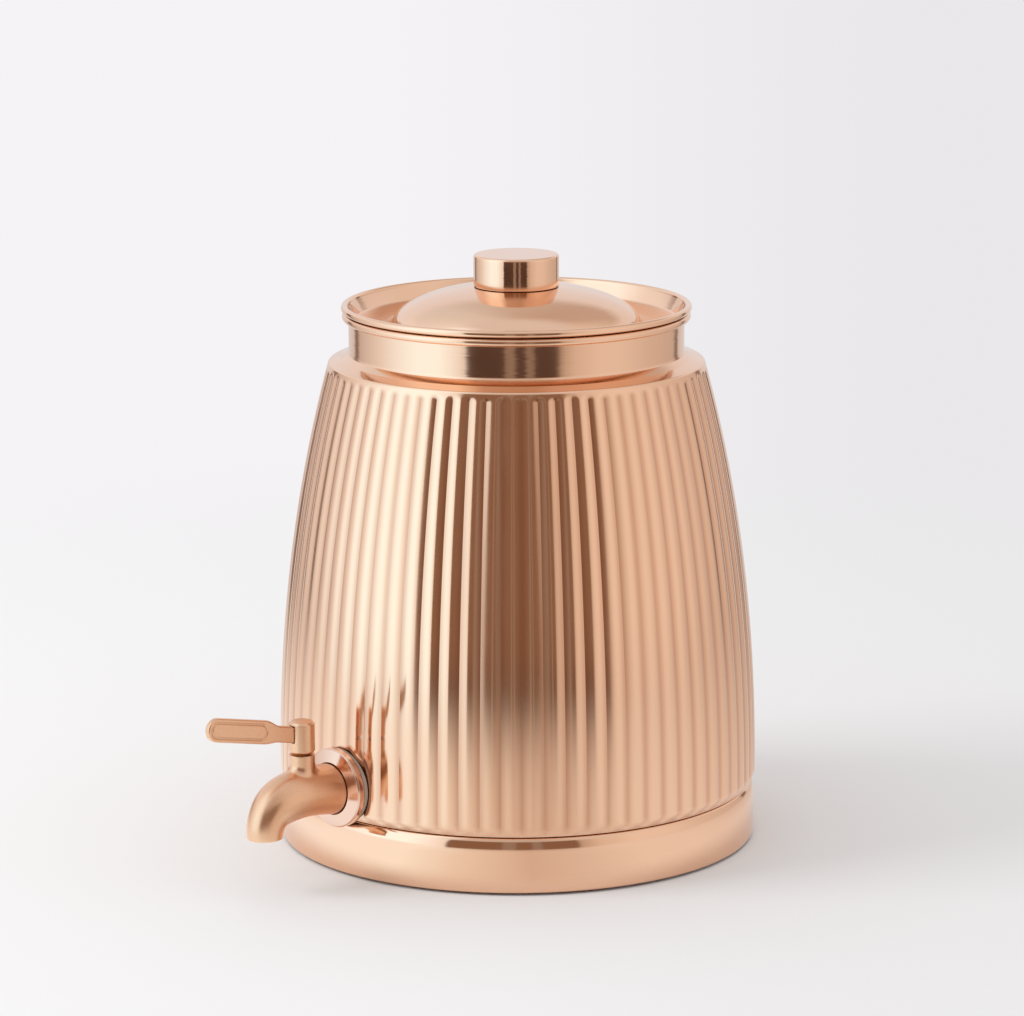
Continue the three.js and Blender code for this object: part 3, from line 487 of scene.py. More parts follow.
def plain_finish(name, colour, roughness, metallic, speck_mm, speck_depth, ior=None, crease_shade_mm=None):
    """One colour with a fine uneven surface: a noise at the size of its grain lifts the surface
    and makes it a little lighter or darker. Painted shade: grooves narrower than the crease
    reach, in millimetres, are painted darker."""
    material, tree, output = new_material(name)
    where = add(tree, "TexCoord").outputs["Object"]
    specks = add(tree, "TexNoise", {"Vector": where, "Scale": 1 / (speck_mm * MM), "Detail": 3})
    bump = add(tree, "Bump", {
        "Height": specks.outputs["Fac"], "Strength": 1, "Distance": speck_depth * MM,
    })
    tone = add(tree, "MapRange", {
        "Value": specks.outputs["Fac"], "From Min": 0.3, "From Max": 0.7, "To Min": 0.92, "To Max": 1.04,
    })
    # Painted shade: ambient occlusion paints grooves narrower than the crease reach darker
    if crease_shade_mm:
        open_sky = add(tree, "AmbientOcclusion", {"Distance": crease_shade_mm * MM}, samples=6)
        crease_shade_tone = add(tree, "MapRange", {
            "Value": open_sky.outputs["AO"], "From Min": 0.3, "From Max": 0.95, "To Min": 0.5,
        })
        tone = add(tree, "Math", {0: tone, 1: crease_shade_tone}, operation="MULTIPLY")
    tint = add(tree, "VectorMath", {0: linear(colour)[:3], 3: tone}, operation="SCALE")
    sockets = {"Base Color": tint, "Metallic": metallic, "Roughness": roughness, "Normal": bump}
    if ior:
        sockets["IOR"] = ior
    shader = add(tree, "BsdfPrincipled", sockets)
    tree.links.new(shader.outputs[0], output.inputs[0])
    return material


# Real tool lines are a few tenths of a millimetre apart, and the grain of blasting and casting
# is finer still. Here both are drawn coarser, so that they show.

# Copper sheet pressed and spun to shape, then buffed: a warm mirror with the faintest rings,
# and a browner line of painted shade down each valley.
ribbed_copper = copper("buffed copper sheet", "#F3C6A7", roughness=0.13, line_mm=2.4,
                       line_depth=0.003, wander=0.045, valley_shade="#DDAB8D")
# The same sheet where the spinning tool's rings still show, as on the lid and the knob.
spun_copper = copper("spun copper", "#F3C6A7", roughness=0.07, line_mm=1.3, line_depth=0.003,
                     wander=0.04)
# The flange was turned and lightly blasted: pinker and duller, with a fine grain.
turned_copper = copper("turned copper plate", "#ECC1AA", roughness=0.14, line_mm=0.9,
                       line_depth=0.006, about_tap=True, grain=0.5)
# Copper plated over a satin casting: soft, broad highlights, and painted shade that darkens
# narrow grooves, such as the lever's.
satin_copper = plain_finish("satin copper plate", "#EEBB97", roughness=0.28, metallic=1,
                            speck_mm=0.6, speck_depth=0.006, crease_shade_mm=1)
# Turned brass, seldom seen: plain yellow metal with tool marks.
turned_brass = plain_finish("turned brass", "#D9B25F", roughness=0.3, metallic=1, speck_mm=0.5,
                            speck_depth=0.006)
# Stainless steel, turned: a grey metal.
turned_steel = plain_finish("turned stainless steel", "#C3C4C6", roughness=0.28, metallic=1,
                            speck_mm=0.5, speck_depth=0.005)
# Moulded silicone rubber: matt and grey-brown, with the dust that it picks up.
moulded_silicone = plain_finish("moulded silicone", "#B09A8B", roughness=0.6, metallic=0,
                                speck_mm=0.8, speck_depth=0.02, ior=1.41)
# Skived fluoroplastic: waxy white.
fluoroplastic = plain_finish("skived fluoroplastic", "#EDEAE2", roughness=0.45, metallic=0,
                             speck_mm=0.7, speck_depth=0.01, ior=1.36)

# The CAD nodes take the finish that their slot stands for.
slot_finishes = {
    "polished_copper": spun_copper, "satin_copper": satin_copper, "brass": turned_brass,
    "steel": turned_steel, "silicone": moulded_silicone, "seat_plastic": fluoroplastic,
}
for part in frame["record"]["subparts"]:
    node_materials = frame["nodes"][part["node"]].data.materials
    node_materials.clear()
    node_materials.append(slot_finishes[part["material_slot"]])


# Vessel

def crest(z):
    """The radius over the ribs' crests: belly less a power of the height up the barrel."""
    share = np.clip((z - RIB_FOOT_Z) / (RIB_TOP_Z - RIB_FOOT_Z), 0, 1)
    return BELLY_R - (BELLY_R - BARREL_TOP_R) * share ** BARREL_BOW


def groove_shape(off_valley):
    """How deep the wall lies below the crest, from 1 in the valley to 0 on the crest:
    log cosh(k u) / log cosh(k), a round crest that runs out into nearly straight flanks."""
    u = np.clip(1 - off_valley, 0, 1)
    return np.log(np.cosh(RIB_FLATNESS * u)) / math.log(math.cosh(RIB_FLATNESS))


def vessel():
    """Rows of the wall's line [r, z] with a rib depth each, carried round. Between two crests the
    wall lies deeper by that depth times the groove shape of the distance off the valley. Near
    the top that distance is measured from the valley's end, so each groove ends in a rounded
    tip, and at the foot the depth grows from nothing by the square of a sine."""
    u = np.tile(RIB_STEPS, RIBS)
    pitch = FULL / RIBS
    angle = -np.pi / 2 + (np.repeat(np.arange(RIBS), len(RIB_STEPS)) + u / 2) * pitch

    spigot_r = PAN_R - PAN_SHEET - GAP
    groove_r = PAN_R - PAN_LIP_IN - PAN_SHEET - GAP
    below = outline([
        (spigot_r, SPIGOT_BOTTOM), (spigot_r, PAN_WALL_TOP - PAN_SHEET),
        (groove_r, PAN_WALL_TOP + SPIGOT_STEP), (groove_r, PAN_WALL_TOP + PAN_LIP_RISE + GAP),
    ])
    share = np.linspace(0, 1, 9)
    foot_z = RIB_FOOT_Z + FOOT_RISE * share
    foot_r = BELLY_R - FOOT_IN * (1 - share) ** 2
    wall_z = np.concatenate([
        np.linspace(RIB_FOOT_Z + FOOT_RISE, RIB_TOP_Z - RIB_END, 22)[1:],
        np.linspace(RIB_TOP_Z - RIB_END, RIB_TOP_Z, 9)[1:],
    ])
    near_top = RIB_TOP_Z - LAST_STRETCH
    shoulder = refine(outline([
        (crest(near_top), near_top),
        (BARREL_TOP_R - SHOULDER_EDGE_IN, RIB_TOP_Z + SHOULDER_EDGE_RISE, SHOULDER_EDGE_R),
        (SHOULDER_END_R, NECK_FOOT_Z - SHOULDER_END_DROP, SHOULDER_FILLET_R),
        (NECK_R, NECK_FOOT_Z, NECK_FOOT_R), (NECK_R, BEAD_Z),
    ], steps=6)[1:], longest=3)
    roll = rolled_edge((NECK_R - SHEET + BEAD_R, BEAD_Z), BEAD_R, SHEET, steps_inside=10)[1:]
    outer = np.concatenate([
        below, np.stack([foot_r, foot_z], 1), np.stack([crest(wall_z), wall_z], 1), shoulder,
    ])
    inside_z = np.linspace(RIB_TOP_Z - INSIDE_START, RIB_FOOT_Z + FOOT_RISE, 9)
    inner = np.concatenate([
        [[NECK_R - SHEET, NECK_FOOT_Z], [BARREL_TOP_R - SHEET - RIB_DEPTH, RIB_TOP_Z]],
        np.stack([crest(inside_z) - SHEET - RIB_DEPTH, inside_z], 1),
        [[groove_r - SHEET, RIB_FOOT_Z], [groove_r - SHEET, PAN_WALL_TOP + SPIGOT_STEP],
         [spigot_r - SHEET, PAN_WALL_TOP - PAN_SHEET], [spigot_r - SHEET, SPIGOT_BOTTOM]],
    ])
    line = np.concatenate([outer, roll, inner])
    depth = np.zeros(len(line))
    foot_rows = slice(len(below), len(below) + len(foot_z))
    depth[foot_rows] = RIB_DEPTH * np.sin(np.minimum(2 * share, 1) * np.pi / 2) ** 2
    wall_rows = slice(foot_rows.stop, foot_rows.stop + len(wall_z))
    depth[wall_rows] = RIB_DEPTH

    past_end = np.clip((line[:, 1] - (RIB_TOP_Z - RIB_END)) / RIB_END, 0, 1)
    off_valley = np.sqrt((1 - np.abs(u))[None, :] ** 2 + past_end[:, None] ** 2)
    radius = line[:, :1] - depth[:, None] * groove_shape(off_valley)
    wall = make("ribbed_vessel", polar(radius, angle, line[:, 1:]), loop=True)
    hole = make("tap_hole", along_tap(rod(SHANK_R + 2 * GAP, SHANK_END, FLANGE_FRONT)))
    combine(wall, hole, "DIFFERENCE")
    finish_piece(wall, "vessel", ["vessel_body"], ribbed_copper)


def base_band():
    """The pan's line turned round: flat underside, a low step, round bottom edge, upright band,
    and a lip that is a quarter of an ellipse."""
    turn = np.linspace(0, np.pi / 2, 16)
    lip = np.stack([PAN_R - PAN_LIP_IN * (1 - np.cos(turn)), PAN_WALL_TOP + PAN_LIP_RISE * np.sin(turn)], 1)
    rest_r = PAN_R - PAN_STEP_IN
    edge_z = PAN_STEP_H + PAN_EDGE_R
    edge = arc((PAN_R - PAN_EDGE_R, edge_z), PAN_EDGE_R, -np.pi / 2, 0, steps=8)
    line = np.concatenate([
        [[0, 0], [rest_r, 0], [rest_r + PAN_STEP_SLOPE, PAN_STEP_H]], edge, lip,
        [[PAN_R - PAN_LIP_IN - PAN_SHEET, PAN_WALL_TOP + PAN_LIP_RISE - PAN_SHEET / 2]],
        lip[-2::-1] - [PAN_SHEET, 0],
        [[PAN_R - PAN_SHEET, edge_z], [PAN_R - PAN_EDGE_R, PAN_STEP_H + PAN_SHEET],
         [rest_r, PAN_STEP_H + PAN_SHEET], [rest_r - PAN_STEP_SLOPE, PAN_SHEET], [0, PAN_SHEET]],
    ])
    band = make("base_band", lathe(refine(line, longest=6), columns=288))
    finish_piece(band, "vessel", ["base_pan"], spun_copper)


# Lid

bead_top = BEAD_Z + BEAD_R
lid_bead_z = bead_top + GAP + LID_BEAD_R
lid_bead_centre = (LID_BEAD_OUTER_R - LID_BEAD_R, lid_bead_z)
dish_z = lid_bead_z - DISH_DROP
dome_foot_z = dish_z - DISH_SLOPE


def dome_height(radius, reach, rise):
    """A superellipse: rise (1 - (r / reach)^p)^(1/p)."""
    return rise * (1 - np.clip(radius / reach, 0, 1) ** DOME_POWER) ** (1 / DOME_POWER)


def dome_line(reach, rise, steps):
    """The dome from near its foot to the hole for the knob's screw, with its rows closer
    together where it is steep."""
    turn = np.linspace(0, np.pi / 2, steps + 1)
    radius = np.maximum(reach * np.cos(turn) ** DOME_CROWDING, KNOB_SCREW_HOLE_R)
    return np.stack([radius, dome_foot_z + dome_height(radius, reach, rise)], 1)


def lid():
    """The lid's line turned round: rolled edge, dish, fillet and dome above, and the same a
    sheet's thickness lower."""
    dome = dome_line(DOME_R, DOME_H, steps=36)
    dome = dome[dome[:, 1] > dome_foot_z + DOME_FILLET]
    fillet_centre = (DOME_R - DOME_FILLET_IN + DOME_FILLET, dome_foot_z + DOME_FILLET)
    fillet = arc(fillet_centre, DOME_FILLET, -np.pi / 2, -np.pi, steps=7)
    dish = outline([
        (lid_bead_centre[0] - LID_BEAD_R, lid_bead_z), (DISH_R, dish_z, DISH_FILLET_R), tuple(fillet[0]),
    ])
    dish = refine(np.concatenate([dish[1:-1], fillet[:1]]), longest=2)
    top = np.concatenate([dish[:-1], fillet, dome])
    below = np.concatenate([
        dome_line(DOME_R - LID_SHEET, DOME_H - LID_SHEET, steps=18)[1:][::-1],
        [[DOME_R - DOME_UNDER_IN, dome_foot_z - LID_SHEET],
         [DISH_R + LID_SHEET / 2, dish_z - LID_SHEET], [DISH_R + LID_SHEET, dish_z]],
    ])
    roll = rolled_edge(lid_bead_centre, LID_BEAD_R, LID_SHEET, steps_inside=8)
    cover = make("domed_lid", lathe(np.concatenate([below, roll, top]), columns=288), loop=True)
    finish_piece(cover, "lid", ["lid_pan"], spun_copper)


def knob():
    """A hollow cap: its line runs under the top, down inside, round the foot and up outside."""
    foot = dome_foot_z + float(dome_height(np.array(KNOB_R - KNOB_WALL), DOME_R, DOME_H)) + KNOB_GAP
    top = foot + KNOB_H
    line = outline([
        (0, top - KNOB_WALL), (KNOB_R - KNOB_WALL, top - KNOB_WALL),
        (KNOB_R - KNOB_WALL, foot, KNOB_INNER_EDGE_R), (KNOB_R, foot, KNOB_FOOT_EDGE_R),
        (KNOB_R, top, KNOB_TOP_EDGE_R), (0, top),
    ], steps=8)
    cap = make("round_knob", lathe(refine(line, longest=4), columns=192))
    finish_piece(cap, "lid", ["lid_knob"], spun_copper)


# Tap

def wall_face(z):
    """The radius of what the tap's outer washer rests on: pan lip below, rib crests above."""
    foot = np.interp(z, [RIB_FOOT_Z, RIB_FOOT_Z + BELLY_STEP], [PAN_R, BELLY_R])
    return np.where(z < RIB_FOOT_Z + FOOT_RISE, foot, crest(z)) + GAP


def flange():
    """The flange's line turned round the tap's axis, with small rounds on its rim."""
    line = outline([
        (SHANK_R + GAP, FLANGE_BACK), (FLANGE_R, FLANGE_BACK, FLANGE_EDGE_R),
        (FLANGE_R, FLANGE_BACK + FLANGE_RIM, FLANGE_EDGE_R),
        (FLANGE_R - FLANGE_BEVEL_IN, FLANGE_BACK + FLANGE_RIM + FLANGE_BEVEL, FLANGE_EDGE_R),
        (FLANGE_MOUTH_R, FLANGE_FRONT, FLANGE_EDGE_R), (FLANGE_MOUTH_R, FLANGE_SEAT),
        (SHANK_R + GAP, FLANGE_SEAT),
    ], closed=True)
    plate = make("tap_flange_plate", along_tap(lathe(line, columns=144)), loop=True)
    finish_piece(plate, "vessel", ["tap_flange"], turned_copper, sharp=25)


def outer_gasket():
    """A ring from the flange's back to the wall: its back edge lies on the wall's radius, so its
    distance outwards is the root of that radius squared less the width squared."""
    front = FLANGE_BACK - GAP
    half = [SHANK_R + GAP, GASKET_MIDDLE_R, GASKET_R - GASKET_EDGE, GASKET_R]
    ring_radius = np.array(half + half[::-1])
    on_wall = np.array([1, 1, 1, 0.97, 0.06, 0, 0, 0])
    a = once_round(144)
    x = np.outer(ring_radius, np.cos(a))
    up = np.outer(ring_radius, np.sin(a))
    back = np.sqrt(wall_face(TAP_Z + up) ** 2 - x ** 2)
    along = front + (back - front) * on_wall[:, None]
    ring = make("outer_tap_washer", along_tap(np.stack([x, up, along], -1)), loop=True)
    finish_piece(ring, "vessel", ["tap_outer_gasket"], moulded_silicone)


def bezier(controls, t):
    """A cubic curve and its direction at the shares t."""
    a, b, c, d = np.array(controls, float)[:, None, :]
    t = t[:, None]
    point = a * (1 - t) ** 3 + 3 * b * t * (1 - t) ** 2 + 3 * c * t ** 2 * (1 - t) + d * t ** 3
    slope = 3 * ((b - a) * (1 - t) ** 2 + 2 * (c - b) * t * (1 - t) + (d - c) * t ** 2)
    return point, slope / np.linalg.norm(slope, axis=1, keepdims=True)


def smooth_between(values, t):
    """A smooth line through evenly spaced values: cubic pieces whose slopes are the mean of
    their neighbours' differences."""
    values = np.array(values, float)
    slope = np.gradient(values)
    place = np.clip(t, 0, 1) * (len(values) - 1)
    low = np.minimum(place.astype(int), len(values) - 2)
    s = place - low
    return ((2 * s ** 3 - 3 * s ** 2 + 1) * values[low] + (s ** 3 - 2 * s ** 2 + s) * slope[low]
            + (3 * s ** 2 - 2 * s ** 3) * values[low + 1] + (s ** 3 - s ** 2) * slope[low + 1])


def spout_tube(share, radius):
    """Round sections of the given radii, each square to the spout's curve at its share."""
    centre, direction = bezier(SPOUT_CURVE, share)
    a = once_round(SPOUT_COLUMNS)
    x = np.outer(radius, np.cos(a))
    lift = np.outer(radius, np.sin(a))
    up = centre[:, :1] + lift * direction[:, 1:]
    along = centre[:, 1:] - lift * direction[:, :1]
    return np.stack([x, up, along], -1)


def closed_ends(points):
    """The same grid with its first and last rows drawn in to their middles."""
    first = np.repeat(points[:1].mean(axis=1, keepdims=True), points.shape[1], axis=1)
    last = np.repeat(points[-1:].mean(axis=1, keepdims=True), points.shape[1], axis=1)
    return np.concatenate([first, points, last])


def spout_top(x, along):
    """The height of the spout's upper skin over a point: its curve's height plus the rest of a
    round section, as if each section stood upright."""
    share = np.linspace(0, 1, 200)
    centre, _ = bezier(SPOUT_CURVE, share)
    reach = smooth_between(SPOUT_R_SHARES, share) * ROOT_R
    middle = np.interp(along, centre[:, 1], centre[:, 0])
    radius = np.interp(along, centre[:, 1], reach)
    return middle + np.sqrt(np.maximum(radius ** 2 - x ** 2, 0))


def boss_skin():
    """A flared post: its foot lies on the spout's skin at the flare's radius, from where a curve
    rises to the post. The rows under the foot close it inside the spout."""
    a = once_round(72)
    t = np.linspace(0, 1, 9)[:, None]
    foot_h = spout_top(BOSS_FLARE_R * np.cos(a), STEM_S - BOSS_FLARE_R * np.sin(a)) - BOSS_FOOT_SUNK
    near_h = spout_top(BOSS_R * np.cos(a), STEM_S - BOSS_R * np.sin(a)) + BOSS_NEAR_RISE
    flare_r = BOSS_FLARE_R * (1 - t) ** 2 + BOSS_R * (2 * t * (1 - t) + t ** 2)
    flare_h = foot_h * (1 - t) ** 2 + near_h * 2 * t * (1 - t) + (near_h + BOSS_FLARE_RISE) * t ** 2
    head = outline([(BOSS_R, 0), (BOSS_R, BOSS_TOP_H, BOSS_EDGE_R), (0, BOSS_TOP_H)])[1:]
    radius = np.concatenate([[0, BOSS_FLARE_R - BOSS_ROOT_IN], flare_r[:, 0], head[:, 0]])
    height = np.concatenate([
        np.zeros((1, len(a))), foot_h[None] - BOSS_ROOT_DROP, flare_h,
        np.repeat(head[:, 1:], len(a), axis=1),
    ])
    return polar(radius[:, None], a, height)


def tap():
    """Spout, post and shank joined, then the bores taken out: water way, stem and stop pin."""
    share = np.linspace(0, 1, 40)
    skin = spout_tube(share, smooth_between(SPOUT_R_SHARES, share) * ROOT_R)
    mouth_r = SPOUT_R_SHARES[-1] * ROOT_R
    turn = np.linspace(0, np.pi / 2, 5)[1:]
    lip = spout_tube(np.ones(4), mouth_r - SPOUT_LIP_R * (1 - np.cos(turn)))
    lip[..., 1] -= (SPOUT_LIP_R * np.sin(turn))[:, None]
    skin = np.concatenate([lathe([[ROOT_R, FLANGE_SEAT + GAP]], SPOUT_COLUMNS), skin, lip])
    body = make("spout_and_post", along_tap(closed_ends(skin)))
    combine(body, make("shank", along_tap(rod(SHANK_R, SHANK_END, STEM_S))), "UNION")
    combine(body, make("post", on_stem(boss_skin())), "UNION")

    widening = np.linspace(0, 1, 14)
    bore_r = THROAT_R + (mouth_r - SPOUT_WALL - THROAT_R) * np.sin(widening * np.pi / 2)
    bend = spout_tube(BEND_START + (1 - BEND_START) * widening, bore_r)
    way = np.concatenate([
        lathe([[THROAT_R, STEM_S], [THROAT_R, TAP_BORE_END + THROAT_RUN]], SPOUT_COLUMNS), bend[1:],
        bend[-1:] - np.array([0, 2 * PAST, 0]),
    ])
    stem_top = BOSS_TOP_H + PAST
    collar = [[0, 0], [COLLAR_HOLE_R, 0], [COLLAR_HOLE_R, COLLAR_HOLE_TOP],
              [STEM_HOLE_R, COLLAR_HOLE_TOP], [STEM_HOLE_R, stem_top], [0, stem_top]]
    pin_hole = rod(PIN_HOLE_R, BOSS_TOP_H - PIN_HOLE_DEPTH, stem_top, columns=24)
    for tool in (
        make("water_way", along_tap(closed_ends(way))),
        make("valve_bore", along_tap(rod(TAP_BORE_R, SHANK_END - PAST, TAP_BORE_END))),
        make("stem_hole", on_stem(lathe(collar, columns=48))),
        make("pin_hole", on_stem(pin_hole, toward_vessel=PIN_OUT)),
    ):
        combine(body, tool, "DIFFERENCE")
    finish_piece(body, "vessel", ["tap_body"], satin_copper, sharp=32)


# Handle

def lever_frame(points):
    """The lever's own [along, up, across thickness] set on the hub, raised by its slope."""
    along, up, across = np.moveaxis(points, -1, 0)
    cos, sin = math.cos(LEVER_RISE), math.sin(LEVER_RISE)
    return np.stack([
        across, -STEM_S - along * cos + up * sin, TAP_Z + LEVER_H + along * sin + up * cos,
    ], -1)


def hub():
    """The hub's line turned round the stem, its top domed by h (1 - (r / R)^2), cut for the
    lever, the stem, the grub screw and the arc in which the stop pin stays."""
    dome_r = np.linspace(HUB_TOP_R - HUB_DOME_IN, 0, 6)
    dome = np.stack([dome_r, HUB_TOP_H + HUB_DOME * (1 - (dome_r / HUB_TOP_R) ** 2)], 1)
    side = outline([
        (0, HUB_BOTTOM_H), (HUB_FOOT_R, HUB_BOTTOM_H, HUB_FOOT_EDGE_R),
        (HUB_R, HUB_BOTTOM_H + HUB_FOOT_CHAMFER, HUB_SIDE_EDGE_R),
        (HUB_R, HUB_SHOULDER_H, HUB_SHOULDER_EDGE_R), (HUB_TOP_R, HUB_TOP_H, HUB_SIDE_EDGE_R),
        tuple(dome[0]),
    ])
    cap = make("handle_cap", on_stem(lathe(np.concatenate([side, dome[1:]]), columns=96)))

    deep = HUB_R + 2 * PAST - LEVER_ROOT + GAP
    middle = LEVER_ROOT - GAP + deep / 2
    half = np.array([[-1, -1], [1, -1], [1, 1], [-1, 1]]) * [LEVER_T / 2 + GAP, NECK_HALF + GAP]
    box_rows = np.stack([
        np.stack([np.full(4, middle + side_out * deep / 2), half[:, 1] - NECK_LOWER, half[:, 0]], -1)
        for side_out in (-1, 1)
    ])
    clear = PIN_R + GAP
    slack = math.asin(clear / PIN_OUT) + math.asin(GAP / PIN_OUT)
    turn = np.linspace(np.pi / 2 - slack, np.pi + slack, 17)
    depth_low, depth_high = HUB_BOTTOM_H - PAST, BOSS_TOP_H + PIN_RISE + GAP
    section = np.array([[PIN_OUT - clear, depth_low], [PIN_OUT + clear, depth_low],
                        [PIN_OUT + clear, depth_high], [PIN_OUT - clear, depth_high]])
    arc_rows = polar(section[:, 0], turn[:, None], section[:, 1])
    grub = rod(GRUB_HOLE_R, 0, HUB_R + PAST, columns=32)
    grub = np.stack([grub[..., 0], grub[..., 2], grub[..., 1] + GRUB_H], -1)
    socket = rod(HUB_STEM_HOLE_R, HUB_BOTTOM_H - PAST, HUB_STEM_HOLE_TOP)
    for tool in (
        make("lever_slot", lever_frame(closed_ends(box_rows))),
        make("stem_socket", on_stem(socket)),
        make("stop_arc", on_stem(closed_ends(arc_rows))),
        make("grub_hole", on_stem(grub)),
    ):
        combine(cap, tool, "DIFFERENCE")
    finish_piece(cap, "handle", ["handle_hub"], satin_copper, sharp=32)


def blade_outline():
    """The lever's outline [along, up]: a straight neck, a flare that widens by (1 - cos a) / 2 and
    a round-ended paddle."""
    share = np.linspace(0, 1, 14)
    ease = (1 - np.cos(np.pi * share)) / 2
    x = LEVER_NECK_END + (PADDLE_START - LEVER_NECK_END) * share
    lower = np.stack([x, -NECK_HALF - NECK_LOWER + (NECK_HALF + NECK_LOWER - PADDLE_HALF) * ease], 1)
    upper = np.stack([x, NECK_HALF - NECK_LOWER + (PADDLE_HALF - NECK_HALF + NECK_LOWER) * ease], 1)
    tip = arc((LEVER_LENGTH - PADDLE_HALF, 0), PADDLE_HALF, -np.pi / 2, np.pi / 2, steps=40)
    return np.concatenate([[[LEVER_ROOT, -NECK_HALF - NECK_LOWER]], lower, tip, upper[::-1],
                           [[LEVER_ROOT, NECK_HALF - NECK_LOWER]]])


def lever():
    """A plate whose rim is a quarter round on each side: the outline moved inwards along its
    normal by r (1 - cos a) while it climbs by r sin a. A tube of elliptic section along a
    racetrack is then taken out of each face."""
    line = blade_outline()
    turn = np.linspace(0, np.pi / 2, 6)
    straight = LEVER_T / 2 - LEVER_EDGE_R
    inset = LEVER_EDGE_R * (1 - np.cos(turn))
    climb = straight + LEVER_EDGE_R * np.sin(turn)
    inset, climb = np.concatenate([inset[::-1], inset]), np.concatenate([-climb[::-1], climb])
    rows = np.concatenate([line[None] + left_of(line)[None] * inset[:, None, None],
                           np.broadcast_to(climb[:, None, None], (len(climb), len(line), 1))], -1)
    blade = make("lever_blade", lever_frame(rows))
    shape = bmesh.new()
    shape.from_mesh(blade.data)
    bmesh.ops.holes_fill(shape, edges=shape.edges, sides=0)
    bmesh.ops.recalc_face_normals(shape, faces=shape.faces)
    shape.to_mesh(blade.data)
    shape.free()

    half = PADDLE_HALF - GROOVE_INSET - GROOVE_W / 2
    start = PADDLE_START - GROOVE_INSET + GROOVE_W / 2 + half
    end = LEVER_LENGTH - GROOVE_INSET - GROOVE_W / 2 - half
    track = np.concatenate([
        arc((end, 0), half, -np.pi / 2, np.pi / 2, steps=20),
        arc((start, 0), half, np.pi / 2, 1.5 * np.pi, steps=20),
    ])
    a = once_round(16)
    for face in (-1, 1):
        flat = track[:, None] + left_of(track)[:, None] * (GROOVE_W / 2 * np.cos(a))[None, :, None]
        lift = np.broadcast_to(face * LEVER_T / 2 + GROOVE_DEPTH * np.sin(a), flat.shape[:2])[..., None]
        tube = make("racetrack_groove", lever_frame(np.concatenate([flat, lift], -1)), loop=True)
        combine(blade, tube, "DIFFERENCE")
    finish_piece(blade, "handle", ["handle_lever"], satin_copper, sharp=32)


# Stage, light and camera

def camera():
    """A long lens in front of the vessel's turned frame, pitched down at it."""
    data = bpy.data.cameras.new("camera")
    data.lens = CAMERA_LENS
    data.sensor_width = CAMERA_SENSOR
    data.clip_end = CAMERA_FAR
    eye = new_object("camera", data)
    place = Matrix.Translation((CAMERA_ASIDE * MM, -CAMERA_BACK * MM, CAMERA_UP * MM))
    look = Matrix.Rotation(math.pi / 2 - CAMERA_PITCH, 4, "X") @ Matrix.Rotation(CAMERA_ROLL, 4, "Z")
    eye.matrix_world = Matrix.Rotation(AZIMUTH, 4, "Z") @ place @ look
    bpy.context.scene.camera = eye


# What mirror rays meet round the vessel: degrees to the right of the camera, and a colour. In
# the dark room between the window and the wall stand the two legs of a lamp. Behind the vessel a
# darker upright on either side edges its outline. FLOOR_GLOW is the room's light on the floor.
ROOM = (0.09, 0.056, 0.044)
LEG = (0.34, 0.28, 0.24)
EDGE = (0.24, 0.19, 0.16)
STUDIO_WALL = [
    (-180, (0.8, 0.8, 0.82)), (-147, (0.78, 0.77, 0.78)), (-145, EDGE), (-139, EDGE),
    (-137, (0.66, 0.62, 0.6)), (-106, (0.95, 1.05, 1.13)), (-90, (1.1, 1.36, 1.55)),
    (-72, (1.2, 1.62, 1.9)), (-54, (1.2, 1.62, 1.85)), (-42, (1.1, 1.3, 1.45)),
    (-35, (1, 1.12, 1.2)), (-33.5, ROOM), (-8.1, ROOM), (-7.6, LEG), (-1.2, LEG), (-0.7, ROOM),
    (6.5, ROOM), (7, LEG), (11.2, LEG), (11.7, ROOM), (28, ROOM), (30, (0.58, 0.5, 0.43)),
    (40, (0.8, 0.74, 0.69)), (58, (0.92, 0.88, 0.85)), (76, (0.9, 0.87, 0.84)),
    (100, (0.78, 0.73, 0.7)), (137, (0.66, 0.6, 0.56)), (139, EDGE), (144, EDGE),
    (146, (0.78, 0.77, 0.78)), (180, (0.8, 0.8, 0.82)),
]
STUDIO_ABOVE = [
    (-180, (0.85, 0.86, 0.9)), (-110, (1, 1.1, 1.2)), (-85, (1.2, 1.5, 1.75)),
    (-50, (1.2, 1.5, 1.7)), (-28, (0.66, 0.66, 0.66)), (-12, (0.6, 0.58, 0.56)),
    (14, (0.6, 0.58, 0.56)), (34, (0.75, 0.75, 0.76)), (70, (0.86, 0.86, 0.86)),
    (180, (0.85, 0.86, 0.9)),
]
STUDIO_OVERHEAD = [
    (-180, (0.64, 0.6, 0.56)), (-163, (0.78, 0.84, 0.88)), (-110, (0.95, 1.05, 1.15)),
    (-85, (1.2, 1.5, 1.75)), (-50, (1.2, 1.5, 1.7)), (-28, (0.66, 0.66, 0.66)),
    (14, (0.6, 0.58, 0.56)), (34, (0.75, 0.75, 0.76)), (70, (0.86, 0.86, 0.86)),
    (110, (0.8, 0.78, 0.76)), (142, (0.62, 0.56, 0.52)), (165, (0.6, 0.53, 0.49)),
    (180, (0.64, 0.6, 0.56)),
]
STUDIO_ZENITH = (0.8, 0.83, 0.88)
ROOM_HAZE = (0.27, 0.17, 0.115)
FLOOR_GLOW = [
    (-180, (0.7, 0.66, 0.62)), (-120, (0.95, 1, 1.02)), (-70, (1.05, 1.2, 1.32)),
    (-38, (1.05, 1.22, 1.3)), (-18, (0.88, 0.9, 0.88)), (4, (0.71, 0.65, 0.6)),
    (20, (0.76, 0.73, 0.7)), (41, (0.87, 0.87, 0.85)), (62, (0.87, 0.87, 0.87)),
    (90, (0.8, 0.78, 0.77)), (135, (0.65, 0.6, 0.56)), (180, (0.7, 0.66, 0.62)),
]
# A ramp holds colours up to 1, so they are divided by this in it, and its light is multiplied.
RAMP_SCALE = 2

